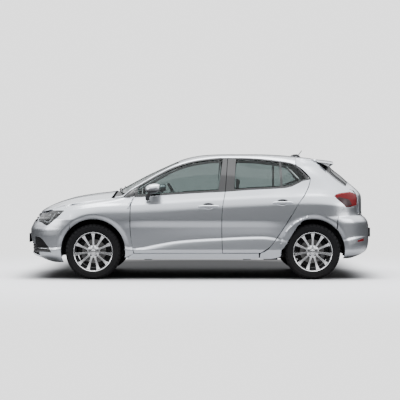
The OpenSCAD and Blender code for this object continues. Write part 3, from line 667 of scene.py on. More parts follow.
POCKET = Finish(
    "painted_alloy", (0.045, 0.045, 0.048), metallic=0.3, grain=500, variation=0.1, depth=0.0002,
    dust=0.05,
)
GREY = Finish(
    "grey_trim", (0.20, 0.20, 0.21), roughness=0.4, coat=0.2, grain=500, variation=0.08, bump=0.05,
    depth=0.0002, dust=0.02,
)
BORDER = Finish(
    "glass_border", (0.006, 0.006, 0.007), roughness=0.35, grain=400, variation=0.05, bump=0.0,
    dust=0.0, specular=0.08,
)
DARK = Finish(
    "lamp_dark", (0.010, 0.010, 0.011), roughness=0.4, grain=400, variation=0.1, bump=0.0,
    dust=0.0, specular=0.15,
)
TYRE = Finish(
    "black_rubber", (0.007, 0.007, 0.008), roughness=0.75, grain=350, variation=0.15, bump=0.3,
    dust=0.03, specular=0.15,
)
DISC = Finish(
    "brake_disc", (0.30, 0.295, 0.29), roughness=0.34, metallic=1, grain=150, variation=0.12,
    bump=0.15, depth=0.0003, dust=0.1,
)
CLOTH = Finish(
    "seat_cloth", (0.045, 0.046, 0.050), roughness=0.85, grain=600, variation=0.25, bump=0.5,
    depth=0.0006, dust=0.0, sheen=0.3, weave=220,
)
LEATHER = Finish(
    "seat_bolster", (0.03, 0.03, 0.032), roughness=0.55, grain=260, variation=0.15, bump=0.5,
    depth=0.0006, dust=0.0,
)
CABIN = Finish(
    "cabin_plastic", (0.035, 0.036, 0.038), roughness=0.6, grain=520, variation=0.12, bump=0.4,
    dust=0.0,
)
CARPET = Finish(
    "carpet", (0.03, 0.03, 0.032), roughness=0.95, grain=900, variation=0.4, bump=0.8, depth=0.002,
    dust=0.0,
)
PLATE = Finish(
    "blank_plate", (0.62, 0.62, 0.60), roughness=0.35, coat=0.2, variation=0.03, bump=0.05,
    depth=0.0002, dust=0.05,
)


# ---- making pieces -----------------------------------------------------------


def sheet(place: Place, nu: int, nv: int, keep: Optional[Place] = None) -> Net:
    """A net of faces laid on a surface.

    Args:
        place: Gives millimetre points for places u and v, 0 to 1.
        nu: Faces along u.
        nv: Faces along v.
        keep: Says which faces stay, from the u and v of their middles.

    Returns:
        The net as a bmesh, in metres, its faces outwards.
    """
    bm = bmesh.new()
    bmesh.ops.create_grid(bm, x_segments=nu, y_segments=nv, size=0.5)
    uv = np.array([v.co[:2] for v in bm.verts])
    uv = (uv - uv.min(0)) / (uv.max(0) - uv.min(0))
    if keep is not None:
        bm.faces.ensure_lookup_table()
        middles = np.array([np.mean([uv[v.index] for v in f.verts], 0) for f in bm.faces])
        stay = keep(middles[:, 0], middles[:, 1])
        gone = [f for f, s in zip(bm.faces, stay) if not s]
    for vert, point in zip(bm.verts, place(uv[:, 0], uv[:, 1]) * MM):
        vert.co = point
    if keep is not None:
        bmesh.ops.delete(bm, geom=gone, context="FACES")
    bmesh.ops.remove_doubles(bm, verts=bm.verts, dist=MERGE)
    outward(bm)
    return bm


def outward(bm: Net) -> None:
    """Turns an open net so that its faces look away from the middle of the car."""
    bm.normal_update()
    total = 0.0
    for face in bm.faces:
        c = face.calc_center_median()
        total += face.normal.dot(c - Vector((c.x * 0.75, 0, MIDDLE_Z))) * face.calc_area()
    if total < 0:
        bmesh.ops.reverse_faces(bm, faces=bm.faces)


def mirrored(bm: Net, side: Side) -> Net:
    """Moves a left-hand mesh to the side asked for."""
    if side is Side.RIGHT:
        bmesh.ops.scale(bm, vec=(1, -1, 1), verts=bm.verts)
        bmesh.ops.reverse_faces(bm, faces=bm.faces)
    return bm


def both(make: Callable[[], Net]) -> Net:
    """The same left-hand mesh on both sides of the car, in one."""
    return joined([mirrored(make(), side) for side in Side])


def block(low: Sequence[float], high: Sequence[float], edge: float = 4) -> Net:
    """A box with rounded edges between two corners, in millimetres."""
    bm = bmesh.new()
    bmesh.ops.create_cube(bm, size=1)
    lo, hi = Vector(low) * MM, Vector(high) * MM
    bmesh.ops.scale(bm, vec=hi - lo, verts=bm.verts)
    bmesh.ops.translate(bm, vec=(hi + lo) / 2, verts=bm.verts)
    if edge:
        bmesh.ops.bevel(
            bm, geom=bm.edges, affect="EDGES", offset=edge * MM, segments=3, profile=0.5,
            material=-1,
        )
    return bm


def spun(profile: Points, steps: int = 96) -> Net:
    """A closed ring turned round Z from a closed profile of radius and height."""
    bm = bmesh.new()
    verts = [bm.verts.new((r * MM, 0, z * MM)) for r, z in profile]
    edges = [bm.edges.new((a, b)) for a, b in zip(verts, verts[1:] + verts[:1])]
    bmesh.ops.spin(
        bm, geom=verts + edges, cent=(0, 0, 0), axis=(0, 0, 1), dvec=(0, 0, 0),
        angle=2 * math.pi, steps=steps, use_merge=True, use_duplicate=False,
    )
    bmesh.ops.remove_doubles(bm, verts=bm.verts, dist=1e-6)
    bmesh.ops.recalc_face_normals(bm, faces=bm.faces)
    return bm


def joined(parts: Sequence[Net]) -> Net:
    """One bmesh out of several, which are used up."""
    whole = bmesh.new()
    for part in parts:
        mesh = bpy.data.meshes.new("part")
        part.to_mesh(mesh)
        part.free()
        whole.from_mesh(mesh)
        bpy.data.meshes.remove(mesh)
    return whole


def tube(points: Sequence[Sequence[float]], radius: float, closed: bool = False,
         sides: int = 10, flat: float = 1.0) -> Net:
    """A round bar along points.

    Args:
        points: Places that the middle of the bar runs through, in millimetres.
        radius: Radius of the bar, in millimetres.
        closed: Whether the last point joins the first.
        sides: Faces round the bar.
        flat: Height of the bar's section as a share of its width.

    Returns:
        The bar as a closed bmesh, in metres.
    """
    p = [Vector(q) * MM for q in points]
    n = len(p)
    bm = bmesh.new()
    rings = []
    for i, c in enumerate(p):
        before = p[i - 1] if i or closed else p[i]
        after = p[(i + 1) % n] if i < n - 1 or closed else p[i]
        along = (after - before).normalized()
        across = along.cross(Vector((0, 1, 0)) if abs(along.y) < 0.9 else Vector((0, 0, 1)))
        across.normalize()
        up = along.cross(across)
        ring = []
        for k in range(sides):
            a = 2 * math.pi * k / sides
            offset = across * math.cos(a) + up * math.sin(a) * flat
            ring.append(bm.verts.new(c + offset * radius * MM))
        rings.append(ring)
    loops = list(zip(rings, rings[1:])) + ([(rings[-1], rings[0])] if closed else [])
    for a, b in loops:
        for k in range(sides):
            bm.faces.new((a[k], a[(k + 1) % sides], b[(k + 1) % sides], b[k]))
    if not closed:
        bm.faces.new(rings[0])
        bm.faces.new(rings[-1])
    bmesh.ops.recalc_face_normals(bm, faces=bm.faces)
    return bm


def turned(bm: Net, degrees: float) -> Net:
    """Turns a mesh about Z."""
    bmesh.ops.rotate(bm, matrix=Matrix.Rotation(math.radians(degrees), 3, "Z"), verts=bm.verts)
    return bm


def rounded(item: bpy.types.Object, edge: float) -> None:
    """Rounds the sharp edges of an object by a width in millimetres."""
    bevel = item.modifiers.new("edge", "BEVEL")
    bevel.width = edge * MM
    bevel.segments = 2
    bevel.limit_method = "ANGLE"
    bevel.angle_limit = math.radians(SHARP_ANGLE)
    bevel.harden_normals = True


@dataclass
class Maker:
    """Turns meshes into finished pieces of one body.

    Attributes:
        body: The CAD body that the pieces ride.
        side: The side of the car that left-hand meshes are moved to.
    """

    body: str
    side: Side = Side.LEFT

    def piece(
        self, name: str, bm: Net, finish: Finish, slot: str,
        replaces: Sequence[str] = (), wall: float = 0, edge: float = 0,
        second: Optional[Finish] = None, sharp: float = 40,
    ) -> bpy.types.Object:
        """Makes a piece, dresses it and puts it on its body.

        Args:
            name: Name of the piece.
            bm: Its mesh, which is used up.
            finish: Its finish.
            slot: Material slot of the record; not used.
            replaces: CAD nodes that it stands for.
            wall: Thickness given to an open net, inwards, in millimetres.
            edge: Rounding of its sharp edges, in millimetres.
            second: Finish of the faces with material index 1.
            sharp: Angle past which an edge is drawn sharp, in degrees.

        Returns:
            The finished object.
        """
        mesh = bpy.data.meshes.new(name)
        for face in mirrored(bm, self.side).faces:
            face.smooth = True
        bm.to_mesh(mesh)
        bm.free()
        mesh.set_sharp_from_angle(angle=math.radians(sharp))
        mesh.materials.append(finish.material())
        if second:
            mesh.materials.append(second.material())
        piece = bpy.data.objects.new(name, mesh)
        bpy.context.scene.collection.objects.link(piece)
        if wall:
            shell = piece.modifiers.new("wall", "SOLIDIFY")
            shell.thickness = wall * MM
            shell.offset = -1
        if edge:
            rounded(piece, edge)
        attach(piece, self.body)
        if replaces:
            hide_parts(*replaces)
        LOG.info("%s on %s: %d faces", name, self.body, len(mesh.polygons))
        return piece

    def dress(self, node: str, finish: Finish, edge: float = 3) -> None:
        """Gives a CAD node its finish and softly rounded edges."""
        item = frame["nodes"][node]
        item.data.materials.clear()
        item.data.materials.append(finish.material())
        if edge:
            weld = item.modifiers.new("weld", "WELD")
            weld.merge_threshold = 1e-5
            rounded(item, edge)
        LOG.info("%s dressed in %s", node, finish.name)


# ---- body sides --------------------------------------------------------------

# Upper edge of the door windows, along the roof rail
GLASS_TOP: Points = (
    (-893, 958), (-817, 1023), (-748, 1066), (-699, 1094), (-581, 1164), (-463, 1229),
    (-345, 1288), (-227, 1335), (-109, 1371), (9, 1394), (127, 1409), (245, 1418),
    (481, 1418), (717, 1406), (953, 1380), (1071, 1359), (1130, 1338), (1189, 1288),
    (1247, 1229), (1295, 1172),
)
# Waist line under the door windows
GLASS_FOOT: Points = (
    (-882, 955), (-690, 959), (-457, 977), (-223, 992), (10, 1006), (266, 1018),
    (593, 1041), (884, 1056), (1000, 1064), (1059, 1076), (1117, 1099), (1175, 1128),
    (1234, 1152), (1280, 1166),
)
# Gaps before, between and behind the doors, each as height and place along the car
FRONT_CUT: Points = (
    (300, -751), (404, -778), (520, -792), (636, -798), (751, -796), (844, -794),
    (885, -786), (925, -772), (962, -758), (1064, -746),
)
SHUT_CUT: Points = (
    (300, 272), (440, 266), (578, 262), (680, 263), (790, 268), (879, 277),
    (925, 285), (995, 300), (1035, 305), (1240, 322), (1420, 336),
)
REAR_CUT: Points = (
    (306, 700), (326, 750), (352, 787), (386, 822), (461, 880), (542, 938),
    (670, 1019), (774, 1083), (914, 1170), (972, 1216), (1018, 1240),
    (1076, 1270), (1140, 1290), (1184, 1303), (1222, 1300),
)

# Half width of the bonnet along the car
BONNET_EDGE: Points = [
    (-1905, 400), (-1850, 512), (-1756, 602), (-1603, 651), (-1462, 664), (-1285, 668),
    (-1120, 671), (-1046, 672), (-1000, 673),
]


@dataclass
class BodySides:
    """Fixed panels of both flanks: fenders, quarter panels, sills, roof rails, pillars.

    Attributes:
        skin: The surface that they lie on.
        wall: Depth shown at their edges.
        edge: Rounding of their edges.
    """

    skin: Skin
    wall: float = 16
    edge: float = 1.8

    def arc(self, axle: float, start: float, end: float) -> Points:
        """Points of a wheel opening between two angles in degrees."""
        turn = np.radians(np.linspace(start, end, 25))
        r, z = self.skin.arch_r, self.skin.arch_z
        return [(axle + r * math.cos(a), z + r * math.sin(a)) for a in turn]

    def fender(self) -> Net:
        """Front fender, over the wheel and up to the bonnet."""
        arc = self.arc(self.skin.front_x, 136, -11)
        edge = Curve(BONNET_EDGE)
        top = [
            (-1580, 800), (-1540, 853), (-1462, 872), (-1370, 888), (-1285, 902), (-1160, 919),
            (-1045, 934), (-940, 948), (-766, 950), (-802, 885), (-806, 640), (-798, 520),
            (-762, 300),
        ]
        outline = Outline(
            arc, top, [arc[0], (-1510, 688), (-1550, 745), top[0]],
            [arc[-1], (-850, 262), (-806, 280), top[-1]],
        )
        lay = self.skin.lay(outline)

        def place(u: Array, v: Array) -> Array:
            """Point of the fender, rolled over to the bonnet above its outline."""
            q = lay(u, np.minimum(v * 1.15, 1))
            over = np.clip((v * 1.15 - 1) / 0.15, 0, 1)[:, None]
            inner = self.skin.top(q[:, 0], -(edge(q[:, 0]) + 5))
            middle = (q + inner) / 2 + np.array([0, -3, 4])
            rolled = q * (1 - over) * (1 - 2 * over) + middle * 4 * over * (1 - over)
            return rolled + inner * over * (2 * over - 1)

        def keep(u: Array, v: Array) -> Array:
            """Drops the roll where the door begins."""
            return (v * 1.15 < 1) | (lay(u, np.ones_like(u))[:, 0] < -1012)
        return sheet(place, 144, 46, keep)

    def quarter(self) -> Net:
        """Quarter panel: round the rear wheel, round the lamp and up to the roof."""
        arc = self.arc(self.skin.rear_x, 188, 43)
        tip = (1566, 968)
        lower = Outline(
            [(700, 240), (820, 242)] + arc[::2],
            [(1143, 861), (1250, 893), (1350, 922), (1460, 950), tip, (1600, 940),
             (1640, 905), (1680, 873), (1712, 840)],
            [(700, 240), (716, 304), (758, 322), (795, 348), (830, 382), (888, 457), (946, 538),
             (1027, 666), (1091, 770), (1143, 861)],
            [arc[-1], (1600, 650), (1606, 706), (1652, 784), (1692, 832), (1712, 840)],
        )
        upper = Outline(
            [(1143, 861), (1250, 893), (1350, 922), (1460, 950), tip, (1594, 990),
             (1644, 1005), (1737, 1016), (1790, 1022)],
            [(1142, 1404), (1220, 1400), (1300, 1392), (1382, 1382)],
            [(1143, 861), (1178, 914), (1225, 972), (1249, 1016), (1279, 1073), (1298, 1138),
             (1306, 1174), (1258, 1240), (1196, 1298), (1140, 1346), (1142, 1404)],
            [(1790, 1022), (1778, 1050), (1735, 1076), (1690, 1092), (1600, 1160), (1482, 1264),
             (1420, 1318), (1386, 1346), (1382, 1382)],
        )
        return joined([
            sheet(self.skin.lay(lower), 96, 64), sheet(self.skin.lay(upper), 96, 72),
        ])

    def sill(self) -> Net:
        """Sill under the doors."""
        outline = Outline(
            [(-842, 238), (692, 238)], [(-762, 300), (692, 302)],
            [(-842, 238), (-812, 268), (-762, 300)], [(692, 238), (692, 302)],
        )
        return sheet(self.skin.lay(outline), 90, 8)

    def rail(self) -> Net:
        """Rail over the doors, from the foot of the screen pillar to the tailgate."""
        top = Curve(GLASS_TOP)
        low = Curve([(-985, 952), (-930, 955), (-893, 960)])
        back = Curve([(1130, 1404), (1220, 1402), (1300, 1395), (1384, 1384)])

        def place(u: Array, v: Array) -> Array:
            """Point of the rail, bowed between the windows and the roof."""
            x = -985 + (1384 + 985) * u
            z = np.where(x < -893, low(x), np.where(x > 1136, back(x), top(x) + 3))
            foot = self.skin.side(x, z)
            y = self.skin.edge_y(x) - 14 - 14 * np.clip((x + 300) / 60, 0, 1)
            head = self.skin.top(x, -y)
            middle = (foot + head) / 2 + np.array([0, -7, 9])
            w = v[:, None]
            bowed = foot * (1 - w) * (1 - 2 * w) + middle * 4 * w * (1 - w)
            return bowed + head * w * (2 * w - 1)
        return sheet(place, 168, 10)

    def sail(self) -> Net:
        """Black corner piece ahead of the front door's window."""
        outline = Outline(
            [(-890, 957), (-830, 957), (-764, 960)], [(-888, 960), (-817, 1021), (-752, 1062)],
            [(-890, 957), (-888, 960)], [(-764, 960), (-752, 1062)],
        )
        return sheet(self.skin.lay(outline, -1.5), 24, 12)

    def post(self) -> Net:
        """Pillar between the doors, seen when they are open."""
        outline = Outline(
            [(232, 250), (330, 250)], [(250, 1400), (362, 1400)],
            [(232, 250), (225, 640), (240, 1040), (262, 1400)],
            [(330, 250), (322, 640), (340, 1040), (362, 1400)],
        )
        return sheet(self.skin.lay(outline, -146), 8, 60)

    def arch(self, axle: float, start: float, end: float) -> Net:
        """Black lip that turns in round a wheel opening."""
        def place(u: Array, v: Array) -> Array:
            """Point of the lip, from deep inside out to the skin."""
            a = np.radians(start + (end - start) * u)
            r = self.skin.arch_r + 3
            x, z = axle + r * np.cos(a), self.skin.arch_z + r * np.sin(a)
            q = self.skin.side(x, z)
            q[:, 1] = -738 + (q[:, 1] + 5 + 738) * v
            return q
        return sheet(place, 72, 6)

    def build(self) -> None:
        """Makes every fixed piece of the flanks."""
        maker = Maker("body")

        for name, make in (
            ("front_fenders", self.fender), ("quarter_panels", self.quarter),
            ("sills", self.sill), ("roof_rails", self.rail),
        ):
            maker.piece(
                name + "_skin", both(make), PAINT, "body_paint", replaces=[name], wall=self.wall,
                edge=self.edge,
            )
        maker.piece("sail_panels", both(self.sail), GLOSS, "black_plastic", wall=4, edge=0.8)
        arches = joined([
            both(lambda: self.arch(self.skin.front_x, 190, -12)),
            both(lambda: self.arch(self.skin.rear_x, 192, -8)),
        ])
        maker.piece("arch_liners", arches, TRIM, "black_plastic", wall=4)
        maker.piece(
            "b_pillar_posts", both(self.post), CABIN, "black_plastic", replaces=["b_pillars"],
            wall=40, edge=3,
        )


@dataclass
class Door:
    """One side door with its window, handle and inner trim.

    Attributes:
        skin: The body surface.
        end: "front" or "rear".
        side: The side of the car.
        gap: Gap to the neighbouring panels.
        depth: Depth of the door from skin to trim.
    """

    skin: Skin
    end: str
    side: Side
    gap: float = 7
    depth: float = 84

    def __post_init__(self) -> None:
        """Works out the door's cut lines."""
        foot, head = Curve(GLASS_FOOT), Curve(GLASS_TOP)
        shut = Curve(SHUT_CUT)
        half = self.gap / 2
        if self.end == "front":
            first, last = Curve(FRONT_CUT), shut
            second_shift = -half
            self.low, x0, x1 = 306, -757, 300
            self.pane = Outline(
                [(-716, 990), (-457, 1001), (-223, 1016), (10, 1030), (224, 1041)],
                [(-700, 1080), (-581, 1150), (-463, 1215), (-345, 1274), (-227, 1321),
                 (-109, 1357), (9, 1380), (127, 1395), (279, 1405)],
                [(-716, 990), (-716, 1040), (-700, 1080)], [(224, 1041), (250, 1220), (279, 1405)],
            )
            self.handle = (-7, 230, 850)
            self.cut_head = [(x, float(head(x)) - 2) for x in np.linspace(-746, 332, 25)]
        else:
            first, last = shut, Curve(REAR_CUT)
            second_shift = 0
            self.low, x0, x1 = 310, 307, 1288
            self.pane = Outline(
                [(410, 1052), (593, 1064), (884, 1079), (1000, 1089), (1059, 1101), (1117, 1123),
                 (1175, 1150), (1254, 1178)],
                [(433, 1404), (599, 1401), (717, 1392), (835, 1380), (953, 1366), (1071, 1344),
                 (1118, 1326), (1172, 1278), (1222, 1226)],
                [(410, 1052), (420, 1220), (433, 1404)], [(1254, 1178), (1242, 1202), (1222, 1226)],
            )
            self.handle = (856, 1087, 894)
            self.cut_head = [(x, float(head(x)) - 2) for x in np.linspace(342, 1288, 25)]
        shift = half if self.end == "rear" else 0
        zs0 = np.linspace(self.low, float(foot(x0)) - 1, 12)
        zs1 = np.linspace(self.low, float(foot(x1)) - 1, 12)
        left = [(float(first(z)) + shift, z) for z in zs0]
        right = [(float(last(z)) + second_shift, z) for z in zs1]
        top = [(x, float(foot(x)) - 1) for x in np.linspace(left[-1][0], right[-1][0], 14)]
        self.panel = Outline([left[0], right[0]], top, left, right)
        lip_left = [left[-1]] + [
            (float(first(z)) + shift, z)
            for z in np.linspace(left[-1][1] + 8, self.cut_head[0][1], 6)
        ]
        lip_right = [right[-1]] + [
            (float(last(z)) + second_shift, z)
            for z in np.linspace(right[-1][1] + 4, self.cut_head[-1][1], 6)
        ]
        self.ring = [
            [(x, z + 2) for x, z in top], lip_right, self.cut_head[::-1], lip_left[::-1]
        ]
        self.opening = self.pane.sides()

    @staticmethod
    def loop(sides: Sequence[Points], u: Array) -> Array:
        """Points round a closed outline of four lines, a quarter of u to each."""
        s = np.minimum(u * len(sides), len(sides) - 1e-7)
        part = s.astype(int)
        points = np.zeros((len(u), 2))
        for k, line in enumerate(sides):
            mine = part == k
            if mine.any():
                points[mine] = track(line, s[mine] - k)
        return points

    def dent(self, x: Array, z: Array) -> Array:
        """Depth of the finger cup behind the handle."""
        a, b, height = self.handle
        middle = a + (b - a) * 0.48
        r = np.hypot((x - middle) / 74, (z - height - 6) / 34)
        return 17 * smooth_step(1.25 * (1 - r))

    def outer(self) -> Net:
        """Painted skin below the window."""
        def place(u: Array, v: Array) -> Array:
            """Point of the panel, pressed in behind the handle."""
            p = self.panel.at(u, v)
            q = self.skin.side(p[:, 0], p[:, 1])
            q[:, 1] += self.dent(p[:, 0], p[:, 1])
            return q
        return sheet(place, 110, 96)

    def frame_ring(self) -> Net:
        """Black frame round the window."""
        def place(u: Array, v: Array) -> Array:
            """Point between the door's outline and the window's."""
            outer, inner = self.loop(self.ring, u), self.loop(self.opening, u)
            p = outer + (inner - outer) * v[:, None]
            return self.skin.side(p[:, 0], p[:, 1], -1.0)
        return sheet(place, 176, 5)

    def rim(self) -> Net:
        """Painted walls between the skin and the trim."""
        sides = self.panel.sides()

        def place(u: Array, v: Array) -> Array:
            """Point of the wall, from the skin in to the trim."""
            p = self.loop(sides, u)
            c = np.array([np.mean([q[0] for q in self.panel.top]), 640.0])
            inward = (c - p) / np.linalg.norm(c - p, axis=1)[:, None]
            p = p + inward * (16 * v)[:, None]
            q = self.skin.side(p[:, 0], p[:, 1])
            q[:, 1] += 8 + (self.depth - 8) * v
            return q
        return sheet(place, 128, 5)

    def trim(self) -> Net:
        """Moulded inner panel with an armrest and a pocket."""
        def place(u: Array, v: Array) -> Array:
            """Point of the trim, swollen at the armrest and at the pocket."""
            p = self.panel.at(0.018 + 0.964 * u, 0.025 + 0.95 * v)
            q = self.skin.side(p[:, 0], p[:, 1])
            swell = 26 * np.exp(-(((v - 0.62) / 0.10) ** 2))
            swell = swell * smooth_step(4 * u) * smooth_step(4 - 4 * u)
            pocket = 14 * np.exp(-(((v - 0.16) / 0.09) ** 2))
            pocket = pocket * smooth_step(5 * u) * smooth_step(3 - 4 * u)
            q[:, 1] += self.depth + swell * 0.7 + pocket
            return q
        bm = sheet(place, 60, 60)
        bmesh.ops.reverse_faces(bm, faces=bm.faces)
        return bm

    def glass(self) -> Net:
        """Window pane, tucked under the frame."""
        def place(u: Array, v: Array) -> Array:
            """Point of the pane, a little larger than its opening."""
            p = self.pane.at(u, v)
            c = p.mean(0)
            p = c + (p - c) * 1.012
            return self.skin.side(p[:, 0], p[:, 1], -7)
        return sheet(place, 48, 20)

    def bar(self) -> Net:
        """Bar between the rear door's pane and its small corner pane."""
        outline = Outline(
            [(948, 1080), (974, 1083)], [(940, 1372), (966, 1369)],
            [(948, 1080), (940, 1372)], [(974, 1083), (966, 1369)],
        )
        return sheet(self.skin.lay(outline, -3), 3, 24)

    def cup(self) -> Net:
        """Black sheet on the floor of the finger cup: painted shade in the recess."""
        a, b, height = self.handle
        middle = a + (b - a) * 0.48

        def place(u: Array, v: Array) -> Array:
            """Point of the cup's floor, from its middle outwards."""
            r, turn = 0.86 * np.sqrt(v), 2 * math.pi * u
            x, z = middle + 74 * r * np.cos(turn), height + 6 + 34 * r * np.sin(turn)
            q = self.skin.side(x, z)
            q[:, 1] += self.dent(x, z) - 0.6
            return q
        return sheet(place, 40, 8)

    def grip(self) -> Net:
        """Pull handle standing over its cup."""
        a, b, z = self.handle
        xs = [a, a + 8, a + 22, a + 48, (a + b) / 2, b - 52, b - 26, b - 8, b]
        out = [-6, 4, 13, 19, 22, 20, 15, 6, -6]
        x = np.array(xs, float)
        line = self.skin.side(x, np.full_like(x, z) + np.array([-4, -3, -1, 1, 2, 2, 1, 0, 0]))
        line[:, 1] -= np.array(out)
        t = np.linspace(0, 1, 33)
        return tube(track(line, t).tolist(), 13.5, sides=14, flat=0.62)

    def build(self) -> None:
        """Makes the door."""
        word = f"{self.end}_{self.side.name.lower()}"
        body = f"door_{word}"
        maker = Maker(body, self.side)
        maker.piece(
            body + "_skin", self.outer(), PAINT, "body_paint", replaces=[body], wall=8, edge=1.8,
        )
        maker.piece(body + "_shell", self.rim(), PAINT, "body_paint", wall=2)
        maker.piece(body + "_trim", self.trim(), CABIN, "black_plastic", wall=3, edge=2)
        maker.piece(
            body + "_window_frame", self.frame_ring(), GLOSS, "black_plastic", wall=26, edge=1.2,
        )
        glass = f"glass_{word}"
        maker.piece(glass + "_pane", self.glass(), GLASS, "window_glass", replaces=[glass], wall=4)
        maker.piece(body + "_handle", self.grip(), PAINT, "body_paint")
        # Painted shade: a black sheet laid in the finger cup behind the handle
        maker.piece(body + "_cup", self.cup(), TRIM, "black_plastic")
        if self.end == "rear":
            maker.piece(body + "_bar", self.bar(), GLOSS, "black_plastic", wall=14, edge=1)


# ---- top panels --------------------------------------------------------------


@dataclass
class TopPanels:
    """Roof, bonnet, windscreen, cowl and what stands on them.

    Attributes:
        skin: The body surface.
    """

    skin: Skin

    def roof(self) -> Net:
        """Roof panel, following the top surface."""
        front = Curve([(0, -262), (0.5, -256), (0.8, -246), (1, -236)])

        def place(u: Array, v: Array) -> Array:
            """Point of the roof, from the screen backwards."""
            w = 2 * v - 1
            x = front(np.abs(w)) * (1 - u) + 1388 * u
            y = w * (self.skin.edge_y(x) - 32)
            return self.skin.top(x, y)
        return sheet(place, 110, 60)

    def bonnet(self) -> Net:
        """Bonnet with a raised middle."""
        edge = Curve(BONNET_EDGE)
        nose = Curve([(0, -1926), (0.5, -1918), (0.8, -1908), (1, -1900)])
        tail = Curve([(0, -1016), (0.6, -1020), (1, -1040)])

        def place(u: Array, v: Array) -> Array:
            """Point of the bonnet, with a soft crease on each side."""
            w = 2 * v - 1
            x = nose(np.abs(w)) + (tail(np.abs(w)) - nose(np.abs(w))) * u ** 1.25
            y = w * edge(x)
            q = self.skin.top(x, y)
            crease = np.exp(-(((np.abs(w) - 0.62) / 0.06) ** 2)) * smooth_step(4 * u)
            q[:, 2] += 4 * crease * smooth_step(3 - 3 * u)
            return q
        return sheet(place, 90, 80)

    def screen(self) -> Net:
        """Windscreen."""
        def place(u: Array, v: Array) -> Array:
            """Point of the screen, from its foot up to the roof."""
            w = 2 * v - 1
            a = track([(-972, 0), (-968, 200), (-950, 420), (-916, 580), (-872, 690)], np.abs(w))
            b = track([(-268, 0), (-264, 200), (-256, 400), (-246, 500), (-236, 586)], np.abs(w))
            p = a + (b - a) * u[:, None]
            y = np.sign(w) * np.minimum(p[:, 1], self.skin.edge_y(p[:, 0]) - 18)
            return self.skin.top(p[:, 0], y, -2)
        return sheet(place, 50, 60)

    def cowl(self) -> Net:
        """Black tray at the foot of the windscreen."""
        near = Curve([(0, -990), (0.6, -996), (1, -1012)])
        far = Curve([(0, -966), (0.6, -940), (1, -880)])

        def place(u: Array, v: Array) -> Array:
            """Point of the tray, between the bonnet and the screen."""
            w = 2 * v - 1
            x = near(np.abs(w)) + (far(np.abs(w)) - near(np.abs(w))) * u
            return self.skin.top(x, w * 672, -14)
        return sheet(place, 8, 60)

    def wiper(self, start: float, end: float) -> Net:
        """Wiper arm with its blade, lying across the foot of the screen."""
        ys = np.linspace(start, end, 14)
        xs = -958 + 36 * np.linspace(0, 1, 14)
        blade = self.skin.top(xs, ys, 9)
        arm = self.skin.top(xs - 16, ys, 16)[:9]
        pivot = self.skin.top(np.array([-985.0]), np.array([start]))
        return joined([
            tube(blade.tolist(), 7, sides=8), tube(np.vstack([pivot, arm]).tolist(), 6, sides=8),
        ])

    def antenna(self) -> Net:
        """Short roof antenna on its foot."""
        foot = tube([(1134, 0, 1452), (1168, 0, 1466), (1205, 0, 1468), (1240, 0, 1444)], 16)
        mast = tube([(1214, 0, 1458), (1224, 0, 1470), (1245, 0, 1500), (1266, 0, 1527)], 5)
        return joined([foot, mast])

    def build(self) -> None:
        """Makes the top panels."""
        maker = Maker("body")
        maker.piece(
            "roof_skin", self.roof(), PAINT, "body_paint", replaces=["roof_panel"], wall=12,
            edge=1.8,
        )
        maker.piece(
            "windscreen_pane", self.screen(), GLASS, "window_glass", replaces=["windscreen"],
            wall=5,
        )
        cowl = [self.cowl(), self.wiper(560, 20), self.wiper(-60, -600)]
        maker.piece(
            "cowl_wipers", joined(cowl), TRIM, "black_plastic", replaces=["cowl_and_wipers"],
            wall=6,
        )
        maker.piece("antenna", self.antenna(), TRIM, "black_plastic")
        Maker("bonnet").piece(
            "bonnet_skin", self.bonnet(), PAINT, "body_paint", replaces=["bonnet"], wall=10,
            edge=1.8,
        )


# ---- nose and tail -----------------------------------------------------------

# Lower and upper edge of the headlamp
LAMP_LOW = Curve([
    (-1905, 672), (-1850, 656), (-1824, 642), (-1788, 627), (-1765, 635), (-1718, 673),
    (-1659, 720), (-1612, 767), (-1586, 795),
])
LAMP_TOP = Curve([
    (-1905, 728), (-1876, 763), (-1847, 777), (-1812, 787), (-1753, 798), (-1694, 803),
    (-1640, 806), (-1590, 806),
])


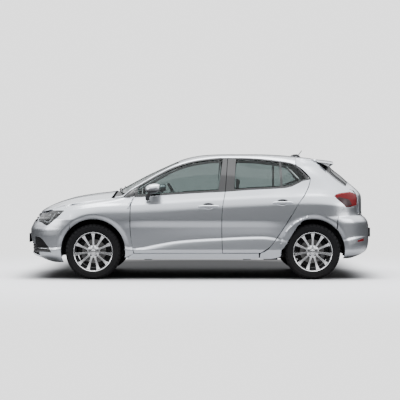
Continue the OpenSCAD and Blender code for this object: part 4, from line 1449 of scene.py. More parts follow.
@dataclass
class Nose:
    """Front bumper, grilles and headlamps.

    Attributes:
        skin: The body surface.
    """

    skin: Skin

    def end_x(self, z: Array) -> Array:
        """Rear end of the bumper at each height: wheel opening, then fender cut."""
        r = self.skin.arch_r + 2
        arch = self.skin.front_x - np.sqrt(np.maximum(r * r - (z - self.skin.arch_z) ** 2, 1)) - 2
        cut = Curve([(585, -1512), (640, -1508), (692, -1506), (745, -1546), (792, -1574)])(z)
        return np.where(z > 585, cut, arch)

    def bumper(self) -> Net:
        """Painted bumper skin with its two openings."""
        foot = Curve([(0, 232), (0.4, 212), (0.7, 190), (1, 196)])
        brow = Curve([(-2060, 764), (-1960, 760), (-1915, 742), (-1906, 680)])

        def upper(u: Array) -> Array:
            """Height of the bumper's top, under the lamps and the bonnet."""
            z = np.full_like(u, 740.0)
            for _ in range(30):  # until the height settles
                t = self.skin.nose_turn(self.end_x(z), z) * u ** 0.9
                x = self.skin.nose(t, z)[:, 0]
                edge = np.where(x < -1905, brow(x), LAMP_LOW(x) - 4)
                z = z + (edge - z) * 0.5
            return z

        def place(u: Array, v: Array) -> Array:
            """Point of the bumper, from one wheel opening to the other."""
            w = 2 * u - 1
            a = np.abs(w)
            z = foot(a) + (upper(a) - foot(a)) * v
            t = self.skin.nose_turn(self.end_x(z), z) * a ** 0.9
            q = self.skin.nose(-np.sign(w) * t, z)
            ledge = np.exp(-(((z - 575) / 26) ** 2)) * 5
            q[:, 0] -= ledge * (1 - a)
            return q

        def keep(u: Array, v: Array) -> Array:
            """Leaves the two openings free."""
            a = np.abs(2 * u - 1)
            low = (a < 0.56) & (v > 0.12) & (v < 0.40)
            slot = (a < 0.36) & (v > 0.86) & (v < 0.965)
            return ~(low | slot)
        return sheet(place, 180, 84, keep)

    def grille(self) -> Net:
        """Dark grille panels behind the bumper's openings, with their bars."""
        parts = []
        for turn, low, high, back in ((0.44, 286, 462, 34), (0.30, 682, 752, 26)):
            def place(u: Array, v: Array) -> Array:
                """Point of the panel behind an opening."""
                z = low + (high - low) * v
                q = self.skin.nose(turn * (2 * u - 1), z)
                q[:, 0] += back
                return q
            parts.append(sheet(place, 48, 10))
            count = 5 if high < 600 else 2
            for k in range(count):
                z = low + (high - low) * (k + 0.7) / (count + 0.4)
                ts = np.linspace(-turn, turn, 41)
                line = self.skin.nose(ts, np.full_like(ts, z))
                line[:, 0] += 14
                parts.append(tube(line.tolist(), 7, sides=8, flat=1.6))
        return joined(parts)

    def corner(self, outline: Outline, out: float, nu: int, nv: int) -> Net:
        """A piece laid on the bumper's corner, both sides."""
        def place(u: Array, v: Array) -> Array:
            """Point of the outline on the bumper's corner."""
            p = outline.at(u, v)
            q = self.skin.nose(self.skin.nose_turn(p[:, 0], p[:, 1]), p[:, 1])
            return q - out * np.array([0.7, 0.7, 0])
        return both(lambda: sheet(place, nu, nv))

    def lamp_brow(self) -> Net:
        """Painted strips between the headlamps and the bonnet, both sides."""
        edge = Curve(BONNET_EDGE)

        def place(u: Array, v: Array) -> Array:
            """Point between the lamp's top and the bonnet's edge."""
            x = -1890 + (1890 - 1556) * u
            z = LAMP_TOP(x) - 4
            low = self.skin.nose(self.skin.nose_turn(x, z), z) + np.array([5, 5, 0])
            high = self.skin.top(x, -(edge(x) + 5)) - np.array([0, 0, 4])
            return low + (high - low) * v[:, None]
        return both(lambda: sheet(place, 40, 10))

    def lens(self, back: float, shrink: float) -> Net:
        """Lamp surface, at the skin or behind it."""
        def place(u: Array, v: Array) -> Array:
            """Point of the lamp, drawn in towards its middle."""
            u2 = 0.5 + (u - 0.5) * (1 - shrink)
            v2 = 0.5 + (v - 0.5) * (1 - shrink)
            x = -1903 + (1903 - 1592) * u2
            z = LAMP_LOW(x) + 3 + (LAMP_TOP(x) - LAMP_LOW(x) - 6) * v2
            q = self.skin.nose(self.skin.nose_turn(x, z), z)
            q[:, 0] += back * 0.9 * (1 - 0.6 * u)
            q[:, 1] += back * 0.45
            return q
        return sheet(place, 60, 18)

    def at_skin(self, x: float, z: float) -> Array:
        """The point of the nose at one x and one height."""
        x, z = np.array([x]), np.array([z])
        return self.skin.nose(self.skin.nose_turn(x, z), z)[0]

    def signature(self) -> Net:
        """Bright line behind the left lens."""
        p = np.array([
            (-1704, 766), (-1716, 738), (-1736, 708), (-1758, 682), (-1778, 664),
            (-1800, 664), (-1838, 678),
        ], float)
        q = self.skin.nose(self.skin.nose_turn(p[:, 0], p[:, 1]), p[:, 1])
        q[:, 0] += 12
        q[:, 1] += 10
        return tube(track(q, np.linspace(0, 1, 30)).tolist(), 6, sides=8)

    def projector(self, x: float, z: float) -> Net:
        """Lamp projector behind the left lens: a ring round a flat ball."""
        ball = bmesh.new()
        bmesh.ops.create_uvsphere(ball, u_segments=24, v_segments=12, radius=24 * MM)
        bmesh.ops.scale(ball, vec=(1, 1, 0.5), verts=ball.verts)
        eye = joined([spun([(24, -10), (30, -10), (30, 8), (27, 8)], 32), ball])
        turn = Vector((-0.8, -0.6, 0)).to_track_quat("Z", "Y").to_matrix().to_4x4()
        q = self.at_skin(x, z)
        move = Matrix.Translation(Vector((q[0] + 34, q[1] + 24, q[2])) * MM) @ turn
        bmesh.ops.transform(eye, matrix=move, verts=eye.verts)
        return eye

    def build(self) -> None:
        """Makes the nose."""
        maker = Maker("body")
        maker.piece("headlamp_brows", self.lamp_brow(), PAINT, "body_paint", wall=2)
        maker.piece(
            "front_bumper_skin", self.bumper(), PAINT, "body_paint", replaces=["front_bumper"],
            wall=8, edge=1.8,
        )
        maker.piece(
            "grille_bars", self.grille(), TRIM, "black_plastic", replaces=["grille"], wall=3,
        )
        lens = both(lambda: self.lens(0, 0))
        maker.piece(
            "headlamp_lenses", lens, LENS, "lamp_clear", replaces=["headlamps"], wall=3, edge=0.8,
        )
        bowls = both(lambda: self.lens(34, 0.05))
        maker.piece("headlamp_bowls", bowls, DARK, "lamp_clear", wall=2)
        maker.piece("headlamp_signature", both(self.signature), SIGNAL, "lamp_clear")
        eyes = [
            mirrored(self.projector(x, z), side)
            for side in Side for x, z in ((-1800, 728), (-1690, 756))
        ]
        maker.piece("headlamp_projectors", joined(eyes), CHROME, "lamp_clear")
        maker.piece(
            "front_plate_holder", block((-2069, -260, 404), (-2061.6, 260, 516), 3), TRIM,
            "black_plastic", replaces=["plate_holders"], edge=2,
        )
        maker.piece(
            "front_plate", block((-2071.5, -255, 409), (-2069, 255, 511), 1), PLATE,
            "black_plastic",
        )
        intake = Outline(
            [(-1925, 318), (-1860, 312), (-1819, 313), (-1725, 310)],
            [(-1949, 494), (-1902, 492), (-1866, 480), (-1831, 451)],
            [(-1925, 318), (-1944, 400), (-1949, 494)],
            [(-1725, 310), (-1760, 368), (-1796, 410), (-1831, 451)],
        )
        maker.piece(
            "side_intakes", self.corner(intake, 1.6, 24, 20), GLOSS, "black_plastic", wall=8,
            edge=1.5,
        )


# Turns at which the tailgate ends, from its bottom to its waist
GATE_ENDS = Curve([(754, 0.35), (820, 0.37), (880, 0.39), (986, 0.40), (1052, 0.41)])


@dataclass
class Tail:
    """Rear bumper, lamps and tailgate.

    Attributes:
        skin: The body surface.
        gate_start: Where the tailgate starts, behind the roof.
        gate_end: Where its waist lies, at the corners.
        bow: How far its middle stands behind its corners.
    """

    skin: Skin
    gate_start: float = 1394
    gate_end: float = 1755
    bow: float = 86

    def end_x(self, z: Array) -> Array:
        """Front end of the rear bumper at each height."""
        r = self.skin.arch_r + 2
        arch = self.skin.rear_x + np.sqrt(np.maximum(r * r - (z - self.skin.arch_z) ** 2, 1)) + 2
        cut = Curve([(592, 1612), (706, 1614), (790, 1658), (836, 1702)])(z)
        return np.where(z > 592, cut, arch)

    def bumper(self) -> Net:
        """Painted rear bumper skin."""
        head = Curve([(0, 744), (0.54, 744), (0.60, 764), (0.72, 836), (0.80, 840), (1, 838)])
        foot = Curve([(0, 300), (0.5, 284), (1, 250)])

        def place(u: Array, v: Array) -> Array:
            """Point of the bumper, from one wheel opening to the other."""
            w = 2 * u - 1
            a = np.abs(w)
            z = foot(a) + (head(a) - foot(a)) * v
            t = self.skin.tail_turn(self.end_x(z), z) * a ** 0.9
            return self.skin.tail(np.sign(w) * t, z)
        return sheet(place, 160, 80)

    def valance(self) -> Net:
        """Black lower edge of the rear bumper."""
        def place(u: Array, v: Array) -> Array:
            """Point of the bumper's lower edge."""
            w = 2 * u - 1
            a = np.abs(w)
            z = 216 + 24 * a + (88 - 24 * a) * v
            z = np.minimum(z, 300 - 48 * a ** 1.4)
            t = self.skin.tail_turn(self.end_x(z), z) * a ** 0.9
            q = self.skin.tail(np.sign(w) * t, z)
            q[:, 0] -= 6
            return q
        return sheet(place, 120, 8)

    def lamp(self, low: Points, top: Points, out: float) -> Net:
        """A slice of the tail lamp between two lines."""
        def place(u: Array, v: Array) -> Array:
            """Point between the two lines."""
            a, b = track(low, u), track(top, u)
            p = a + (b - a) * v[:, None]
            return self.skin.side(p[:, 0], p[:, 1], out)
        return both(lambda: sheet(place, 36, 14))

    def reflector(self) -> Net:
        """Long red reflectors low on the bumper's corners."""
        outline = Outline(
            [(1856, 432), (1942, 441)], [(1862, 452), (1944, 470)], [(1856, 432), (1862, 452)],
            [(1942, 441), (1944, 470)],
        )

        def place(u: Array, v: Array) -> Array:
            """Point of the reflector, just off the bumper."""
            p = outline.at(u, v)
            q = self.skin.tail(self.skin.tail_turn(p[:, 0], p[:, 1]), p[:, 1])
            return q + np.array([1.5, -1.5, 0])
        return both(lambda: sheet(place, 12, 4))

    def gate_place(self, w: Array, s: Array) -> Array:
        """Point of the tailgate's surface: w across, -1 to 1, s down from the hinge, 0 to 2."""
        edge = Curve([(1394, 554), (1440, 556), (1500, 562), (1605, 577), (1700, 584), (1760, 582)])
        a = np.clip(s, 0, 1)
        x = self.gate_start + (self.gate_end - self.gate_start) * a
        bow = a * self.bow * (1 - w * w)
        upper = self.skin.top(x + bow, w * edge(x))
        b = np.clip(s - 1, 0, 1)
        z = 1052 + (754 - 1052) * b
        lower = self.skin.tail(GATE_ENDS(z) * w, z)
        lower[:, 1] *= -1
        mix = smooth_step(np.clip((s - 0.97) / 0.10, 0, 1))[:, None]
        return upper * (1 - mix) + lower * mix

    def gate(self) -> Net:
        """Painted tailgate skin with its window opening."""
        def place(u: Array, v: Array) -> Array:
            """Point of the tailgate, from the hinge down."""
            return self.gate_place(2 * u - 1, 2 * v)

        def keep(u: Array, v: Array) -> Array:
            """Leaves the window opening free."""
            return ~((np.abs(2 * u - 1) < 0.975) & (v > 0.12) & (v < 0.47))
        return sheet(place, 100, 120, keep)

    def gate_glass(self, grow: float, down: float) -> Net:
        """Rear window, or with grow its black border."""
        def place(u: Array, v: Array) -> Array:
            """Point of the pane, just under the skin."""
            w = (2 * u - 1) * (0.80 + grow)
            s = 0.47 - grow + (0.46 + 1.2 * grow) * v
            q = self.gate_place(w, s)
            return q - down * np.array([1, 0, 1])
        return sheet(place, 60, 30)

    def spoiler(self) -> Net:
        """Spoiler over the rear window."""
        outline = [
            (1400, 1421), (1494, 1410), (1617, 1393), (1620, 1388), (1600, 1366), (1570, 1360),
        ]

        def place(u: Array, v: Array) -> Array:
            """Point round the section of the spoiler."""
            w = 2 * u - 1
            p = track(outline, v)
            drop = 46 * np.abs(w) ** 2.4
            x = p[:, 0] - 60 * np.abs(w) ** 3 * v
            return np.stack([x, w * 556, p[:, 1] - drop], 1)
        return sheet(place, 60, 40)

    def corner_panels(self) -> Net:
        """Painted strips between the quarter panels and the tailgate, both sides."""
        line = [
            (1790, 1040), (1735, 1074), (1690, 1092), (1600, 1160), (1482, 1264), (1420, 1318),
            (1386, 1346),
        ]

        def upper(u: Array, v: Array) -> Array:
            """Point of the strip beside the window."""
            b = track(line, v)
            near = self.gate_place(-np.ones_like(v), 1 - v) + np.array([-3, -9, -5])
            far = self.skin.side(b[:, 0], b[:, 1], -9)
            return near + (far - near) * u[:, None]

        def lower(u: Array, v: Array) -> Array:
            """Point of the strip beside the lower tailgate."""
            z = 748 + (1058 - 748) * v
            start = GATE_ENDS(z) + 0.014
            end = self.skin.tail_turn(np.full_like(z, 1800), z)
            q = self.skin.tail(start + (end - start) * u, z)
            return q + np.array([-9, 7, 0])
        return joined([
            mirrored(sheet(part, 24, 40), side) for part in (upper, lower) for side in Side
        ])

    def build(self) -> None:
        """Makes the tail."""
        maker = Maker("body")
        maker.piece("tail_corner_panels", self.corner_panels(), PAINT, "body_paint", wall=2)
        maker.piece(
            "rear_bumper_skin", self.bumper(), PAINT, "body_paint", replaces=["rear_bumper"],
            wall=8, edge=1.8,
        )
        maker.piece("rear_valance", self.valance(), TRIM, "black_plastic", wall=6, edge=1.5)
        low = [
            (1576, 968), (1604, 943), (1644, 908), (1684, 874), (1718, 846), (1790, 852),
            (1860, 862),
        ]
        top = [
            (1580, 978), (1604, 990), (1650, 1001), (1700, 1008), (1740, 1013), (1800, 1014),
            (1864, 984),
        ]
        maker.piece(
            "tail_lamp_lenses", self.lamp(low, top, 1), RED, "lamp_red", replaces=["tail_lamps"],
            wall=8, edge=2,
        )
        dark = [(1606, 946), (1646, 912), (1690, 876), (1724, 850)]
        dark_top = [(1626, 962), (1690, 946), (1752, 930), (1790, 866)]
        maker.piece(
            "tail_lamp_corners", self.lamp(dark, dark_top, 3), DEEP_RED, "lamp_red", wall=4,
            edge=1,
        )
        strip = [(x, z - 7) for x, z in top[1:-1]]
        maker.piece(
            "tail_lamp_strips", self.lamp(strip, top[1:-1], 3), PALE_RED, "lamp_red", wall=4,
            edge=1,
        )
        maker.piece(
            "rear_plate_holder", block((2066.6, -260, 470), (2074, 260, 582), 3), TRIM,
            "black_plastic", edge=2,
        )
        maker.piece(
            "rear_plate", block((2074, -255, 475), (2076.5, 255, 577), 1), PLATE, "black_plastic",
        )
        maker.piece("rear_reflectors", self.reflector(), RED, "lamp_red", wall=4, edge=1)
        gate = Maker("tailgate")
        gate.piece(
            "tailgate_skin", self.gate(), PAINT, "body_paint", replaces=["tailgate"], wall=10,
            edge=1.8,
        )
        gate.piece("tailgate_border", self.gate_glass(0.188, 4), BORDER, "black_plastic", wall=2)
        gate.piece(
            "tailgate_window", self.gate_glass(0.01, 1.5), PRIVACY, "window_glass",
            replaces=["tailgate_glass"], wall=4,
        )
        gate.piece("tailgate_spoiler", self.spoiler(), PAINT, "body_paint", wall=6, edge=1.5)


# ---- mirrors -----------------------------------------------------------------


@dataclass
class Mirror:
    """Door mirror: painted cap, black base and arm, glass at the back.

    Attributes:
        side: The side of the car.
        centre: Middle of the housing, left side.
        half: Half sizes of the housing.
    """

    side: Side
    centre: Tuple[float, float, float] = (-530, -950, 1056)
    half: Tuple[float, float, float] = (92, 92, 58)

    def housing(self, low: float, high: float, grow: float) -> Net:
        """Part of the housing between two heights, as shares of its half height."""
        bm = bmesh.new()
        bmesh.ops.create_uvsphere(bm, u_segments=48, v_segments=32, radius=1)
        for vert in bm.verts:
            c = vert.co
            for k in range(3):
                c[k] = math.copysign(abs(c[k]) ** 0.86, c[k])
            c.z += 0.22 * c.x
        for point, away in (
            ((0, 0, low), (0, 0, -1)), ((0, 0, high), (0, 0, 1)), ((0.80, 0, 0), (1, 0, 0)),
        ):
            bmesh.ops.bisect_plane(
                bm, geom=list(bm.verts) + list(bm.edges) + list(bm.faces),
                plane_co=point, plane_no=away, clear_outer=True,
            )
        bmesh.ops.holes_fill(bm, edges=[e for e in bm.edges if e.is_boundary], sides=0)
        bmesh.ops.scale(bm, vec=[h * grow * MM for h in self.half], verts=bm.verts)
        bmesh.ops.translate(bm, vec=Vector(self.centre) * MM, verts=bm.verts)
        bmesh.ops.recalc_face_normals(bm, faces=bm.faces)
        return bm

    def arm(self) -> Net:
        """Black arm and foot that carry the housing."""
        path = [(-598, -862, 930), (-600, -880, 948), (-588, -906, 978), (-556, -930, 1008),
                (-535, -940, 1030)]
        line = track(path, np.linspace(0, 1, 14)).tolist()
        return tube(line, 24, sides=14, flat=0.62)

    def build(self) -> None:
        """Makes the mirror."""
        word = self.side.name.lower()
        name = f"mirror_{word}"
        maker = Maker(f"door_front_{word}", self.side)
        cap = self.housing(-0.12, 2, 1.0)
        maker.piece(name + "_cap", cap, PAINT, "body_paint", replaces=[name], edge=2)
        belt = self.housing(-0.34, -0.12, 0.985)
        maker.piece(name + "_belt", belt, GREY, "alloy", edge=1)
        base = joined([self.housing(-2, -0.34, 0.97), self.arm()])
        maker.piece(name + "_base", base, TRIM, "black_plastic", edge=2)
        pane = block((0, -70, -34), (4, 66, 34), 1.5)
        x, y, z = self.centre
        move = Vector((x + 0.80 * self.half[0] - 1, y, z + 8)) * MM
        bmesh.ops.translate(pane, vec=move, verts=pane.verts)
        maker.piece(name + "_glass", pane, CHROME, "window_glass")


# ---- wheels ------------------------------------------------------------------


@dataclass
class Wheel:
    """A road wheel: tyre, eleven-spoke rim and brake disc.

    Attributes:
        word: "front_left" and so on.
        side: The side of the car.
        hub: Middle of the wheel, in metres, from the frame.
        tyre_r: Outer radius of the tyre.
        rim_r: Radius at the rim's lip.
        half: Half the tyre's width.
        spokes: Number of spokes.
        bolts: Number of wheel bolts.
        bolt_r: Radius of the circle of their caps.
    """

    word: str
    side: Side
    hub: Vector
    tyre_r: float = 323
    rim_r: float = 232
    half: float = 107.5
    spokes: int = 11
    bolts: int = 5
    bolt_r: float = 48

    def place(self, bm: Net) -> Net:
        """Turns a mesh made round Z onto the wheel's axle."""
        turn = Matrix.Rotation(math.radians(90 if self.side is Side.LEFT else -90), 4, "X")
        bmesh.ops.transform(bm, matrix=Matrix.Translation(self.hub) @ turn, verts=bm.verts)
        return bm

    def tyre(self) -> Net:
        """Tyre with four grooves, shoulder blocks and ribbed sidewalls."""
        r, h, lip = self.tyre_r, self.half, self.rim_r
        outer = [
            (lip - 14, h - 14), (lip + 2, h - 7), (lip + 10, h - 1), (lip + 26, h),
            (lip + 30, h + 1), (lip + 34, h), (lip + 52, h - 1), (lip + 56, h), (r - 30, h - 3),
            (r - 20, h - 7), (r - 11, h - 14), (r - 5, h - 24), (r - 2, h - 38),
        ]
        grooves = []
        for z in (54, 18, -18, -54):
            grooves += [(r, z + 5), (r - 7, z + 4), (r - 7, z - 4), (r, z - 5)]
        inner = [(a, -b) for a, b in reversed(outer)]
        profile = outer + grooves + inner + [(lip - 22, -h + 30), (lip - 22, h - 30)]
        steps = 120
        bm = spun(profile, steps)
        blocks = []
        for face in bm.faces:
            c = face.calc_center_median()
            radius = math.hypot(c.x, c.y) / MM
            angle = math.atan2(c.y, c.x) / (2 * math.pi) * steps
            shoulder = radius > r - 26 and abs(c.z) / MM > h - 32
            if shoulder and int(math.floor(angle)) % 3 == 0:
                blocks.append(face)
        bmesh.ops.inset_individual(bm, faces=blocks, thickness=0.0012, depth=-0.0035)
        return self.place(bm)

    def barrel(self) -> Net:
        """Rim with its lip and well."""
        r = self.rim_r
        profile = [(r - 14, -94), (r - 12, -60), (r - 12, 60), (r - 8, 84), (r - 1, 90), (r, 96),
                   (r - 5, 99), (r - 12, 95), (r - 18, 84), (r - 26, 60), (r - 30, 20),
                   (r - 32, -84), (r - 26, -96)]
        return spun(profile, 120)

    def spoke(self) -> Net:
        """One spoke: a tapered bar with a flat bright face, standing up along +Y."""
        stations = [(50, 10.5, 60, 30), (78, 9.5, 66, 34), (120, 10, 70, 36), (165, 12.5, 76, 34),
                    (198, 17, 83, 30), (214, 23, 88, 26)]
        bm = bmesh.new()
        rings = []
        for y, wide, face, deep in stations:
            section = [
                (-wide, face), (wide, face), (wide + 1.5, face - 5),
                (wide * 0.72, face - deep), (-wide * 0.72, face - deep), (-wide - 1.5, face - 5),
            ]
            rings.append([bm.verts.new((x * MM, y * MM, z * MM)) for x, z in section])
        for a, b in zip(rings, rings[1:]):
            for k in range(6):
                bm.faces.new((a[k], a[(k + 1) % 6], b[(k + 1) % 6], b[k]))
        bm.faces.new(rings[0])
        bm.faces.new(rings[-1])
        bmesh.ops.recalc_face_normals(bm, faces=bm.faces)
        return bm

    def rim(self) -> Net:
        """Rim, spokes, hub, wheel bolts and a plain centre cap."""
        parts = [self.barrel()]
        for k in range(self.spokes):
            bar = self.spoke()
            turn = Matrix.Rotation(math.radians(k * 360 / self.spokes), 4, "Z")
            bmesh.ops.transform(bar, matrix=turn, verts=bar.verts)
            parts.append(bar)
        hub = [(0.5, 66), (30, 65), (64, 62), (72, 56), (74, 44), (70, 24), (0.5, 24)]
        parts.append(spun(hub, 66))
        parts.append(spun([(0.5, 74), (20, 73.5), (27, 71), (29, 66), (0.5, 66)], 48))
        whole = joined(parts)
        whole.normal_update()
        for face in whole.faces:
            c = face.calc_center_median()
            radius = math.hypot(c.x, c.y) / MM
            on_face = face.normal.z > 0.75 and c.z > 0.052
            on_lip = radius > self.rim_r - 14 and c.z > 0.083
            face.material_index = 0 if on_face or on_lip else 1
        wells = []
        for k in range(self.bolts):
            a = math.radians(90 + 360 / self.bolts * k)
            well = spun([(0.5, 63.5), (9, 63.5), (11, 66.5), (13, 66.5), (13, 60), (0.5, 60)], 20)
            for face in well.faces:
                face.material_index = 1
            move = Vector((math.cos(a), math.sin(a), 0)) * self.bolt_r * MM
            bmesh.ops.translate(well, vec=move, verts=well.verts)
            wells.append(well)
        return self.place(joined([whole] + wells))

    def disc(self) -> Net:
        """Vented brake disc with its hat."""
        parts = [
            spun([(80, -26), (139, -26), (140, -27), (140, -33), (80, -33)], 72),
            spun([(80, -40), (140, -40), (140, -47), (139, -48), (80, -48)], 72),
            spun([
                (0.5, 20), (66, 20), (70, 16), (70, -30), (80, -33), (80, -48), (60, -48),
                (60, 10), (0.5, 10),
            ], 48),
        ]
        for k in range(36):
            parts.append(turned(block((84, -1.5, -41), (136, 1.5, -32), 0), 10 * k))
        return self.place(joined(parts))

    def shield(self) -> Net:
        """Dust shield behind the disc, held still by the axle."""
        profile = [(62, -60), (150, -60), (190, -52), (190, -55), (150, -63), (62, -63)]
        return self.place(spun(profile, 72))

    def build(self) -> None:
        """Makes the wheel."""
        maker = Maker(f"wheel_{self.word}")
        held = f"knuckle_{self.side.name.lower()}" if self.word.startswith("front") else "body"
        Maker(held).piece(f"dust_shield_{self.word}", self.shield(), UNDER, "underbody")
        maker.piece(
            f"tyre_{self.word}_tread", self.tyre(), TYRE, "tyre_rubber",
            replaces=[f"tyre_{self.word}"], sharp=25,
        )
        maker.piece(
            f"rim_{self.word}_spokes", self.rim(), ALLOY, "alloy", replaces=[f"rim_{self.word}"],
            edge=1.2, second=POCKET,
        )
        maker.piece(f"disc_{self.word}", self.disc(), DISC, "cast_metal", edge=0.6)


@dataclass
class Caliper:
    """Brake calliper, held by the knuckle in front and by the axle at the back.

    Attributes:
        body: The body that carries it.
        side: The side of the car.
        hub: Middle of the wheel, in metres.
        turn: Place round the disc, in degrees from the front.
    """

    body: str
    side: Side
    hub: Vector
    turn: float

    def build(self) -> None:
        """Makes the calliper."""
        lower = block((96, -48, -70), (156, 48, -52), 5)
        upper = block((100, -44, -22), (152, 44, -8), 5)
        bridge = block((143, -40, -66), (160, 40, -12), 5)
        shape = turned(joined([lower, upper, bridge]), 180 - self.turn)
        angle = math.radians(90 if self.side is Side.LEFT else -90)
        place = Matrix.Translation(self.hub) @ Matrix.Rotation(angle, 4, "X")
        bmesh.ops.transform(shape, matrix=place, verts=shape.verts)
        name = f"caliper_{'front' if self.hub.x < 0 else 'rear'}_{self.side.name.lower()}"
        Maker(self.body).piece(name, shape, CAST, "cast_metal")


# ---- cabin -------------------------------------------------------------------


@dataclass
class Cushion:
    """A stuffed pad with piping along its seams.

    Attributes:
        size: Length, width and thickness.
        crown: How far the faces swell.
        bolster: How far the side wings stand up.
        channels: Sewn channels across the pad.
    """

    size: Tuple[float, float, float]
    crown: float = 16
    bolster: float = 0
    channels: int = 0

    def mesh(self) -> Net:
        """The pad lying on XY, its middle at the origin, its show face up."""
        bm = bmesh.new()
        bmesh.ops.create_cube(bm, size=2)
        bmesh.ops.subdivide_edges(bm, edges=bm.edges, cuts=23, use_grid_fill=True)
        a, b, t = (s / 2 for s in self.size)
        for vert in bm.verts:
            x, y, z = vert.co
            rx = abs(x) ** 6
            ry = abs(y) ** 6
            swell = (1 - x * x) * (1 - y * y)
            pinch = 1 - 0.10 * abs(z) ** 4 * (rx + ry) * 0.5
            height = z * t * (1 - 0.16 * (rx + ry) * 0.5)
            height += math.copysign(self.crown * swell, z) * abs(z)
            if z > 0:
                wing = max(0.0, (abs(y) - 0.62) / 0.38)
                height += self.bolster * math.sin(min(1.0, wing * 1.25) * math.pi / 2) * (wing > 0)
                if self.channels and abs(y) < 0.66:
                    groove = abs(math.sin(math.pi * (x + 1) / 2 * (self.channels + 1)))
                    height -= 9 * (1 - min(1.0, groove * 4.5)) * z
                seam = abs(abs(y) - 0.66)
                height -= 8 * max(0.0, 1 - seam / 0.05)
            bulge = 1 + 0.02 * (1 - z * z)
            vert.co = Vector((x * a * pinch * bulge, y * b * pinch * bulge, height)) * MM
        bmesh.ops.smooth_vert(
            bm, verts=bm.verts, factor=0.5, use_axis_x=True, use_axis_y=True, use_axis_z=True
        )
        return bm

    def make(self, maker: Maker, name: str, place: Matrix, replaces: Sequence[str] = ()) -> None:
        """Makes the pad at a place, with a finish for its middle and one for its wings."""
        bm = self.mesh()
        bm.normal_update()
        for face in bm.faces:
            c = face.calc_center_median()
            middle = abs(c.y) / MM < self.size[1] * 0.33 and face.normal.z > 0.3
            face.material_index = 0 if middle else 1
        bmesh.ops.transform(bm, matrix=place, verts=bm.verts)
        pad = maker.piece(
            name, bm, CLOTH, "seat_fabric", replaces=replaces, second=LEATHER, sharp=60,
        )
        soften = pad.modifiers.new("soft", "SUBSURF")
        soften.levels = soften.render_levels = 1


